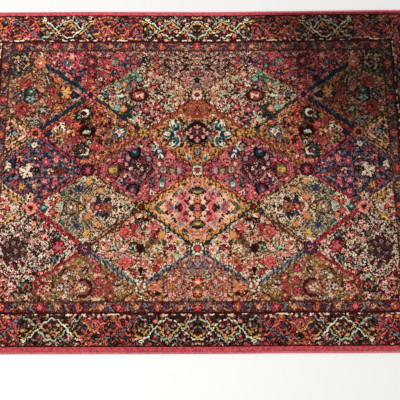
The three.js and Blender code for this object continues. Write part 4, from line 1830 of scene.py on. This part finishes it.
def knot_colour(nodes, strength):
    """The yarn of the knot under a point: its colour, and the point's place in the knots."""
    knots = nodes.add("ShaderNodeUVMap", uv_map="knots").outputs[0]
    place = nodes.add("ShaderNodeSeparateXYZ", {0: knots})
    u, v = place.outputs[0], place.outputs[1]
    column = nodes.math("FLOOR", u)
    row = nodes.math("FLOOR", v)
    digit = nodes.math("FLOORED_MODULO", column, float(BLOCK))
    line = nodes.math("FLOORED_MODULO", row, float(BLOCK))
    yarns = nodes.add("ShaderNodeAttribute", attribute_name="yarns")
    split = nodes.add("ShaderNodeSeparateColor", {0: yarns.outputs["Color"]})
    channels = (split.outputs[0], split.outputs[1], split.outputs[2], yarns.outputs["Alpha"])
    packed = 0.0
    for index, channel in enumerate(channels):
        inputs = {0: line, 1: float(index), 2: 0.5}
        compare = nodes.add("ShaderNodeMath", inputs, operation="COMPARE")
        packed = nodes.math("ADD", packed, nodes.math("MULTIPLY", channel, compare.outputs[0]))
    scale = nodes.math("POWER", float(YARN_LIMIT), digit)
    shifted = nodes.math("FLOOR", nodes.math("DIVIDE", packed, scale))
    number = nodes.math("FLOORED_MODULO", shifted, float(YARN_LIMIT))
    share = nodes.math("DIVIDE", nodes.math("ADD", number, 0.5), float(YARN_LIMIT))
    ramp = nodes.add("ShaderNodeValToRGB", {0: share})
    ramp.color_ramp.interpolation = "CONSTANT"
    stops = ramp.color_ramp.elements
    while len(stops) < len(YARN_ROWS):
        stops.new(1.0)
    for index, channels in enumerate(yarn_colours()):
        stops[index].position = index / YARN_LIMIT
        stops[index].color = [linear(channel) * strength for channel in channels] + [1.0]
    cell = nodes.add("ShaderNodeCombineXYZ", {0: column, 1: row}).outputs[0]
    return ramp.outputs[0], u, v, cell


def knot_relief(nodes, u, v):
    """Height over one knot: a small mound with a furrow round it."""
    waves = [nodes.math("COSINE", nodes.math("MULTIPLY", place, 2 * math.pi)) for place in (u, v)]
    return nodes.math("MULTIPLY", nodes.math("ADD", *waves), -0.25)


def painted_nap_shade(nodes, where, depth, lift):
    """Painted shade, darker in the far right corner where the pile leans away from the light, and painted
    sheen, paler by the far edge.
    """
    place = nodes.add("ShaderNodeSeparateXYZ", {0: where})
    x, y = place.outputs[0], place.outputs[1]
    # Painted shade: darker towards the far right corner
    skewed = nodes.math("ADD", x, nodes.math("MULTIPLY", y, PAINTED_SHADE_SKEW))
    along = nodes.ranged(skewed, PAINTED_SHADE_ALONG, ease="SMOOTHSTEP")
    across = nodes.ranged(y, PAINTED_SHADE_ACROSS, (PAINTED_SHADE_NEAR_SHARE * depth, depth), "SMOOTHSTEP")
    # Painted sheen: paler by the far edge
    far = nodes.ranged(y, PAINTED_SHEEN_FAR, (1.0, 1.0 + lift), "SMOOTHSTEP")
    dark = nodes.math("SUBTRACT", 1.0, nodes.math("MULTIPLY", along, across))
    return nodes.math("MULTIPLY", dark, far)


def uneven_tone(nodes, cell, settings):
    """How pale each knot is, and each clump of four knots with it."""
    halved = nodes.add("ShaderNodeVectorMath", {0: cell, "Scale": 0.5}, operation="SCALE")
    clump = nodes.add("ShaderNodeVectorMath", {0: halved.outputs[0]}, operation="FLOOR")
    tones = []
    for place, amount in (
        (cell, settings.knot_variation),
        (clump.outputs[0], settings.tuft_variation),
    ):
        random = nodes.add("ShaderNodeTexWhiteNoise", {"Vector": place}, noise_dimensions="3D")
        tones.append(nodes.ranged(random.outputs["Value"], target=around_one(amount)))
    return nodes.math("MULTIPLY", *tones)


def pile_material(settings):
    material, nodes, shader = new_material(
        "wool pile", Roughness=0.95, Specular_IOR_Level=0.02, Sheen_Weight=settings.sheen,
        Sheen_Roughness=0.55,
    )
    colour, u, v, cell = knot_colour(nodes, settings.yarn_strength)
    where = nodes.add("ShaderNodeTexCoord").outputs["Object"]
    nap = nodes.noise(where, 3.2, 3.0, 0.55)
    nap = nodes.ranged(nap, NOISE_SPAN, around_one(settings.nap_variation))
    bands = nodes.add("ShaderNodeMapping", {"Vector": where, "Scale": (26.0, 0.8, 1.0)})
    abrash = nodes.noise(bands.outputs[0], 1.0, 4.0, 0.6)
    abrash = nodes.ranged(abrash, NOISE_SPAN, around_one(settings.abrash))
    tone = uneven_tone(nodes, cell, settings)
    tint = nodes.math("MULTIPLY", tone, nodes.math("MULTIPLY", nap, abrash))
    # Painted shade in the far right corner and painted sheen along the far edge, multiplied into the
    # pile's colour
    shade = painted_nap_shade(nodes, where, settings.painted_nap_shade, settings.painted_far_sheen)
    tinted = nodes.tinted(colour, nodes.math("MULTIPLY", tint, shade))
    nodes.tree.links.new(tinted, shader.inputs["Base Color"])
    fibres = nodes.math("MULTIPLY", nodes.noise(where, 1400.0, 2.0), 0.6)
    relief = nodes.math("ADD", knot_relief(nodes, u, v), fibres)
    nodes.bumped(shader, relief, 0.7, 0.0007)
    return material


def ground_material(settings):
    material, nodes, shader = new_material(
        "ground weave", Roughness=0.92, Specular_IOR_Level=0.15)
    colour, u, v, _ = knot_colour(nodes, 1.0)
    warp, pick = [
        nodes.math("ABSOLUTE", nodes.math("SINE", nodes.math("MULTIPLY", place, math.pi)))
        for place in (u, v)
    ]
    cover = nodes.ranged(pick, (0.25, 0.75), (0.25, 0.75))
    mix = nodes.add("ShaderNodeMix", {"Factor": cover}, data_type="RGBA")
    mix.inputs["A"].default_value = (*settings.ground_colour, 1.0)
    nodes.tree.links.new(colour, mix.inputs["B"])
    where = nodes.add("ShaderNodeTexCoord").outputs["Object"]
    tint = nodes.ranged(nodes.noise(where, 60.0, 4.0), target=(0.75, 1.2))
    nodes.tree.links.new(nodes.tinted(mix.outputs["Result"], tint), shader.inputs["Base Color"])
    relief = nodes.math("ADD", pick, nodes.math("MULTIPLY", warp, 0.5))
    nodes.bumped(shader, relief, 0.8, 0.0005)
    return material


def edge_yarn_material(settings):
    material, nodes, shader = new_material(
        "edge yarn", Roughness=0.85, Specular_IOR_Level=0.2, Sheen_Weight=0.3,
        Sheen_Roughness=0.5,
    )
    tone = nodes.add("ShaderNodeAttribute", attribute_name="tone").outputs["Fac"]
    ramp = nodes.add("ShaderNodeValToRGB", {0: tone})
    ramp.color_ramp.elements[0].color = (*settings.deep_colour, 1.0)
    ramp.color_ramp.elements[1].color = (*settings.pale_colour, 1.0)
    where = nodes.add("ShaderNodeTexCoord").outputs["Object"]
    tint = nodes.ranged(nodes.noise(where, 12.0, 5.0, 0.65), NOISE_SPAN, (0.86, 1.1))
    nodes.tree.links.new(nodes.tinted(ramp.outputs[0], tint), shader.inputs["Base Color"])
    nodes.bumped(shader, nodes.noise(where, 1100.0, 3.0), 0.6, 0.0004)
    return material


# Edge yarn: Geometry Nodes wrap it round a core along each edge


def corner_line(signs, angles):
    """Points round one corner of the rug, along the middle of the binding."""
    radius = CORNER_RADIUS - WRAP_WIDTH / 2
    x = signs[0] * (HALF_LENGTH - CORNER_RADIUS) + radius * np.cos(angles)
    y = signs[1] * (HALF_WIDTH - CORNER_RADIUS) + radius * np.sin(angles)
    return np.stack((x, y), axis=-1)


def side_line(index):
    """The middle of one side's binding, from the middle of one corner to the next."""
    start = index * math.pi / 2
    trim = HALF_FIT_GAP / (CORNER_RADIUS - WRAP_WIDTH / 2)
    turn = np.linspace(0, math.pi / 4 - trim, 6)
    bend = corner_line(CORNER_SIGNS[index], start + math.pi / 4 + trim + turn)
    next_bend = corner_line(CORNER_SIGNS[(index + 1) % 4], start + math.pi / 2 + turn)
    count = max(2, round(math.dist(bend[-1], next_bend[0]) / EDGE_STEP))
    straight = np.linspace(bend[-1], next_bend[0], count + 1)[1:-1]
    line = np.concatenate((bend, straight, next_bend))
    line[:, 1] = laid(line[:, 0], line[:, 1])
    return line


def rounded_loop(nodes, width, height, corner):
    """A flat oblong loop with rounded corners."""
    inputs = {"Width": width, "Height": height}
    loop = nodes.add("GeometryNodeCurvePrimitiveQuadrilateral", inputs)
    inputs = {"Curve": loop.outputs[0], "Radius": corner, "Count": 3}
    return nodes.add("GeometryNodeFilletCurve", inputs, mode="POLY").outputs[0]


def random_number(nodes, low, high, seed):
    """A random number for each turn of the yarn."""
    inputs = {"Min": low, "Max": high, "Seed": seed}
    node = nodes.add("FunctionNodeRandomValue", inputs, data_type="FLOAT")
    return next(output for output in node.outputs if output.enabled)


def overcast_tree():
    """Yarn turns round a core, along the edges of a mesh."""
    tree = bpy.data.node_groups.new("Overcast edge", "GeometryNodeTree")
    for name, kind in OVERCAST_INPUTS:
        tree.interface.new_socket(name, in_out="INPUT", socket_type="NodeSocket" + kind)
    tree.interface.new_socket("Geometry", in_out="OUTPUT", socket_type="NodeSocketGeometry")
    nodes = Nodes(tree)
    given = nodes.add("NodeGroupInput").outputs
    seed = given["Seed"]
    path = nodes.add("GeometryNodeMeshToCurve", {"Mesh": given["Geometry"]}).outputs[0]

    yarn_width = nodes.math("MULTIPLY", given["Yarn radius"], 2.0)
    inner_width = nodes.math("SUBTRACT", given["Width"], yarn_width)
    inner_height = nodes.math("SUBTRACT", given["Height"], yarn_width)
    corner = nodes.math("MULTIPLY", inner_height, 0.46)

    loop = rounded_loop(nodes, inner_height, inner_width, corner)
    inputs = {"Radius": given["Yarn radius"], "Resolution": 5}
    ply = nodes.add("GeometryNodeCurvePrimitiveCircle", inputs)
    inputs = {"Curve": loop, "Profile Curve": ply.outputs[0]}
    turn = nodes.add("GeometryNodeCurveToMesh", inputs)
    inputs = {"Geometry": turn.outputs[0], "Rotation": (0.0, math.pi / 2, 0.0)}
    stood = nodes.add("GeometryNodeTransform", inputs)

    inputs = {"Curve": path, "Length": given["Turn spacing"]}
    spaced = nodes.add("GeometryNodeResampleCurve", inputs, mode="LENGTH")
    tangent = nodes.add("GeometryNodeInputTangent").outputs[0]
    parts = nodes.add("ShaderNodeSeparateXYZ", {0: tangent})
    heading = nodes.math("ARCTAN2", parts.outputs[1], parts.outputs[0])
    slanted = nodes.math("ADD", heading, given["Slant"])
    turned = nodes.math("ADD", slanted, random_number(nodes, -0.07, 0.07, seed))
    rotation = nodes.add("ShaderNodeCombineXYZ", {2: turned})
    rotation = nodes.add("FunctionNodeEulerToRotation", {0: rotation.outputs[0]})
    wraps = nodes.add("GeometryNodeInstanceOnPoints", {
        "Points": spaced.outputs[0], "Instance": stood.outputs[0],
        "Rotation": rotation.outputs[0], "Scale": random_number(nodes, 0.97, 1.0, seed),
    })
    inputs = {
        "Geometry": wraps.outputs[0], "Name": "tone",
        "Value": random_number(nodes, 0.0, 1.0, seed),
    }
    toned = nodes.add(
        "GeometryNodeStoreNamedAttribute", inputs, data_type="FLOAT", domain="INSTANCE")
    realized = nodes.add("GeometryNodeRealizeInstances", {"Geometry": toned.outputs[0]})

    core_loop = rounded_loop(nodes, inner_width, inner_height, corner)
    upright = nodes.add("GeometryNodeSetCurveNormal", {"Curve": path}, mode="Z_UP")
    inputs = {"Curve": upright.outputs[0], "Profile Curve": core_loop, "Fill Caps": True}
    core = nodes.add("GeometryNodeCurveToMesh", inputs)
    joined = nodes.add("GeometryNodeJoinGeometry")
    tree.links.new(core.outputs[0], joined.inputs[0])
    tree.links.new(realized.outputs[0], joined.inputs[0])
    whole = nodes.add("GeometryNodeRealizeInstances", {"Geometry": joined.outputs[0]})
    smooth = nodes.add("GeometryNodeSetShadeSmooth", {"Geometry": whole.outputs[0]})
    inputs = {"Geometry": smooth.outputs[0], "Material": given["Material"]}
    finished = nodes.add("GeometryNodeSetMaterial", inputs)
    nodes.add("NodeGroupOutput", {"Geometry": finished.outputs[0]})
    return tree


def plain_mesh(piece, modifier, name):
    """Gives the piece its evaluated shape as a plain mesh, with the modifier gone."""
    graph = bpy.context.evaluated_depsgraph_get()
    graph.update()
    made = bpy.data.meshes.new_from_object(piece.evaluated_get(graph), depsgraph=graph)
    piece.modifiers.remove(modifier)
    old = piece.data
    piece.data = made
    bpy.data.meshes.remove(old)
    made.name = name


def set_inputs(modifier, values):
    """Sets a modifier's inputs by their sockets' identifiers."""
    for item in modifier.node_group.interface.items_tree:
        if item.in_out == "INPUT" and item.name in values:
            modifier[item.identifier] = values[item.name]


# Settings


class RugWeaveSettings(bpy.types.PropertyGroup):
    unevenness: bpy.props.FloatProperty(
        name="Unevenness", description="How far the pile's top rises and falls", default=0.0005, min=0.0,
        max=0.003, subtype="DISTANCE", unit="LENGTH")
    yarn_strength: bpy.props.FloatProperty(
        name="Yarn strength", description="Brightness of the dyed yarns", default=0.95, min=0.2, max=2.0)
    knot_variation: bpy.props.FloatProperty(
        name="Knot variation", description="How much one knot's tone differs from the next", default=0.12,
        min=0.0, max=0.6, subtype="FACTOR")
    tuft_variation: bpy.props.FloatProperty(
        name="Tuft variation", description="How much one clump of four knots differs from the next",
        default=0.2, min=0.0, max=0.6, subtype="FACTOR")
    nap_variation: bpy.props.FloatProperty(
        name="Nap variation", description="Lighter and darker places where the pile leans", default=0.07,
        min=0.0, max=0.5, subtype="FACTOR")
    # Depth of the painted shade in the far right corner
    painted_nap_shade: bpy.props.FloatProperty(
        name="Nap shade", description="How dark the far right corner is, where the pile leans away",
        default=0.72, min=0.0, max=1.0, subtype="FACTOR")
    # Strength of the painted sheen along the far border
    painted_far_sheen: bpy.props.FloatProperty(
        name="Far lift", description="How much paler the pile is along the far border",
        default=0.45, min=0.0, max=1.0)
    abrash: bpy.props.FloatProperty(
        name="Abrash", description="Faint bands across the rug where a new dye lot begins", default=0.07,
        min=0.0, max=0.5, subtype="FACTOR")
    sheen: bpy.props.FloatProperty(
        name="Sheen", description="Soft shine of the cut wool", default=0.03, min=0.0, max=1.0,
        subtype="FACTOR")
    ground_colour: bpy.props.FloatVectorProperty(
        name="Ground yarn", description="Undyed yarn of the ground weave", default=(0.45, 0.33, 0.21),
        min=0.0, max=1.0, subtype="COLOR")


class RugEdgeSettings(bpy.types.PropertyGroup):
    yarn_radius: bpy.props.FloatProperty(
        name="Yarn radius", description="Radius of the overcast yarn", default=0.00105,
        min=0.0003, max=0.003, subtype="DISTANCE", unit="LENGTH")
    turn_spacing: bpy.props.FloatProperty(
        name="Turn spacing", description="Distance from one turn to the next", default=0.0022, min=0.0005,
        max=0.02, subtype="DISTANCE", unit="LENGTH")
    slant: bpy.props.FloatProperty(
        name="Slant", description="How far the turns lean along the edge", default=math.radians(9),
        subtype="ANGLE", unit="ROTATION")
    deep_colour: bpy.props.FloatVectorProperty(
        name="Deep yarn", description="Darkest edge yarn", default=(0.50, 0.085, 0.115), min=0.0, max=1.0,
        subtype="COLOR")
    pale_colour: bpy.props.FloatVectorProperty(
        name="Pale yarn", description="Palest edge yarn", default=(0.72, 0.19, 0.22), min=0.0, max=1.0,
        subtype="COLOR")


class RugStageSettings(bpy.types.PropertyGroup):
    floor_colour: bpy.props.FloatVectorProperty(
        name="Floor", description="Pale floor", default=(0.79, 0.785, 0.765), min=0.0, max=1.0,
        subtype="COLOR")
    daylight: bpy.props.FloatProperty(
        name="Daylight", description="Strength of the even light from all round", default=0.62,
        min=0.0, max=5.0)
    lamp_power: bpy.props.FloatProperty(
        name="Lamp power", description="Power of the large soft lamp", default=80.0, min=0.0, unit="POWER")


# Operators

PILE_RINGS = (
    {"inset": PILE_INSET, "height": SELVEDGE_TOP - 0.0004},
    {"inset": PILE_INSET, "height": 0.0072},
    {"inset": PILE_INSET + 0.0009, "height": 0.0082},
    {"inset": PILE_INSET + 0.0022, "height": 0.0087},
    {"inset": PILE_INSET + 0.0045, "height": 0.0089},
)
GROUND_RINGS = (
    {"inset": PILE_INSET, "height": SELVEDGE_TOP},
    {"inset": SELVEDGE_INSET, "height": SELVEDGE_TOP},
    {"inset": SELVEDGE_INSET, "height": SELVEDGE_BOTTOM},
    {"inset": PILE_INSET, "height": SELVEDGE_BOTTOM},
    {"inset": PILE_INSET, "height": 0.0},
    {"inset": PILE_INSET + 0.0022, "height": 0.0},
    {"inset": PILE_INSET + 0.0045, "height": 0.0},
)
CHART = paint_chart()


class RUG_OT_weave_pile(bpy.types.Operator):
    """Make the knotted pile with its pattern"""

    bl_idname = "rug.weave_pile"
    bl_label = "Weave Pile"

    def execute(self, context):
        settings = context.scene.rug_weave
        mesh = chart_mesh("rug_pile", PILE_RINGS, PILE_TOP, CHART, True, settings.unevenness)
        mesh.materials.append(pile_material(settings))
        piece = new_object("rug_pile", mesh)
        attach(piece, "root")
        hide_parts("rug_body")
        return {"FINISHED"}


class RUG_OT_weave_ground(bpy.types.Operator):
    """Make the ground weave with its selvedge"""

    bl_idname = "rug.weave_ground"
    bl_label = "Weave Ground"

    def execute(self, context):
        settings = context.scene.rug_weave
        mesh = chart_mesh("rug_ground", GROUND_RINGS, 0.0, CHART, False, 0.0)
        mesh.materials.append(ground_material(settings))
        piece = new_object("rug_ground", mesh)
        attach(piece, "root")
        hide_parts("rug_body")
        return {"FINISHED"}


class RUG_OT_overcast_edges(bpy.types.Operator):
    """Wrap yarn round the selvedge along all four sides"""

    bl_idname = "rug.overcast_edges"
    bl_label = "Overcast Edges"

    def execute(self, context):
        settings = context.scene.rug_edge
        material = edge_yarn_material(settings)
        tree = overcast_tree()
        for index, side in enumerate(SIDES):
            name = "overcast_yarn_" + side
            line = side_line(index)
            mesh = bpy.data.meshes.new(name)
            points = [(x, y, WRAP_HEIGHT / 2) for x, y in line.tolist()]
            mesh.from_pydata(points, [(i, i + 1) for i in range(len(points) - 1)], [])
            piece = new_object(name, mesh)
            modifier = piece.modifiers.new("Overcast", "NODES")
            modifier.node_group = tree
            set_inputs(modifier, {
                "Width": WRAP_WIDTH, "Height": WRAP_HEIGHT, "Yarn radius": settings.yarn_radius,
                "Turn spacing": settings.turn_spacing, "Slant": settings.slant, "Seed": 11 + index,
                "Material": material})
            plain_mesh(piece, modifier, name)
            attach(piece, "root")
            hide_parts("edge_binding_" + side)
        bpy.data.node_groups.remove(tree)
        return {"FINISHED"}


class RUG_OT_set_stage(bpy.types.Operator):
    """Lay the floor, place the light and stand the camera over the rug"""

    bl_idname = "rug.set_stage"
    bl_label = "Set Stage"

    def execute(self, context):
        settings = context.scene.rug_stage
        scene = context.scene
        mesh = bpy.data.meshes.new("rug_floor")
        corners = [(x * FLOOR_HALF_SIZE, y * FLOOR_HALF_SIZE, 0) for x, y in CORNER_SIGNS]
        mesh.from_pydata(corners, [], [(0, 1, 2, 3)])
        floor = new_object("rug_floor", mesh)
        material, _, _ = new_material(
            "pale floor", Base_Color=(*settings.floor_colour, 1.0), Roughness=0.9,
            Specular_IOR_Level=0.1,
        )
        mesh.materials.append(material)

        world = bpy.data.worlds.new("daylight")
        world.use_nodes = True
        background = world.node_tree.nodes["Background"]
        background.inputs["Color"].default_value = (1.0, 0.99, 0.975, 1.0)
        background.inputs["Strength"].default_value = settings.daylight
        scene.world = world

        lamp = bpy.data.lights.new("soft lamp", "AREA")
        lamp.shape = "RECTANGLE"
        lamp.size, lamp.size_y = LAMP_SIZE
        lamp.energy = settings.lamp_power
        lamp_object = new_object("soft_lamp", lamp)
        lamp_object.location = LAMP_PLACE
        lamp_object.rotation_euler = [math.radians(angle) for angle in LAMP_TURN]

        camera = bpy.data.cameras.new("camera")
        camera.lens = CAMERA_LENS
        camera.sensor_width = 36.0
        camera.clip_start = 0.01
        camera_object = new_object("camera", camera)
        camera_object.location = CAMERA_PLACE
        camera_object.rotation_euler = [math.radians(angle) for angle in CAMERA_TURN]
        scene.camera = camera_object
        scene.view_settings.view_transform = "Standard"
        return {"FINISHED"}


class RUG_PT_workshop(bpy.types.Panel):
    """Sizes, colours and steps of the rug"""

    bl_label = "Garden Rug"
    bl_idname = "RUG_PT_workshop"
    bl_space_type = "VIEW_3D"
    bl_region_type = "UI"
    bl_category = "Rug"

    def draw(self, context):
        layout = self.layout
        for name in SETTINGS:
            settings = getattr(context.scene, name)
            box = layout.box()
            for field in settings.bl_rna.properties:
                if not field.is_readonly and field.identifier not in {"name", "rna_type"}:
                    box.prop(settings, field.identifier)
        for operator in OPERATORS:
            layout.operator(operator.bl_idname)


SETTINGS = {"rug_weave": RugWeaveSettings, "rug_edge": RugEdgeSettings, "rug_stage": RugStageSettings}
OPERATORS = (RUG_OT_weave_pile, RUG_OT_weave_ground, RUG_OT_overcast_edges, RUG_OT_set_stage)
CLASSES = (*SETTINGS.values(), *OPERATORS, RUG_PT_workshop)


def register():
    for cls in CLASSES:
        bpy.utils.register_class(cls)
    for name, cls in SETTINGS.items():
        setattr(bpy.types.Scene, name, bpy.props.PointerProperty(type=cls))


def unregister():
    for name in SETTINGS:
        delattr(bpy.types.Scene, name)
    for cls in reversed(CLASSES):
        bpy.utils.unregister_class(cls)


def write_sizes():
    """Brings the view layer up to date."""
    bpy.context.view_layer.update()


def main():
    register()
    for name in ("weave_pile", "weave_ground", "set_stage", "overcast_edges"):
        getattr(bpy.ops.rug, name)()
    write_sizes()


if __name__ == "__main__":
    main()
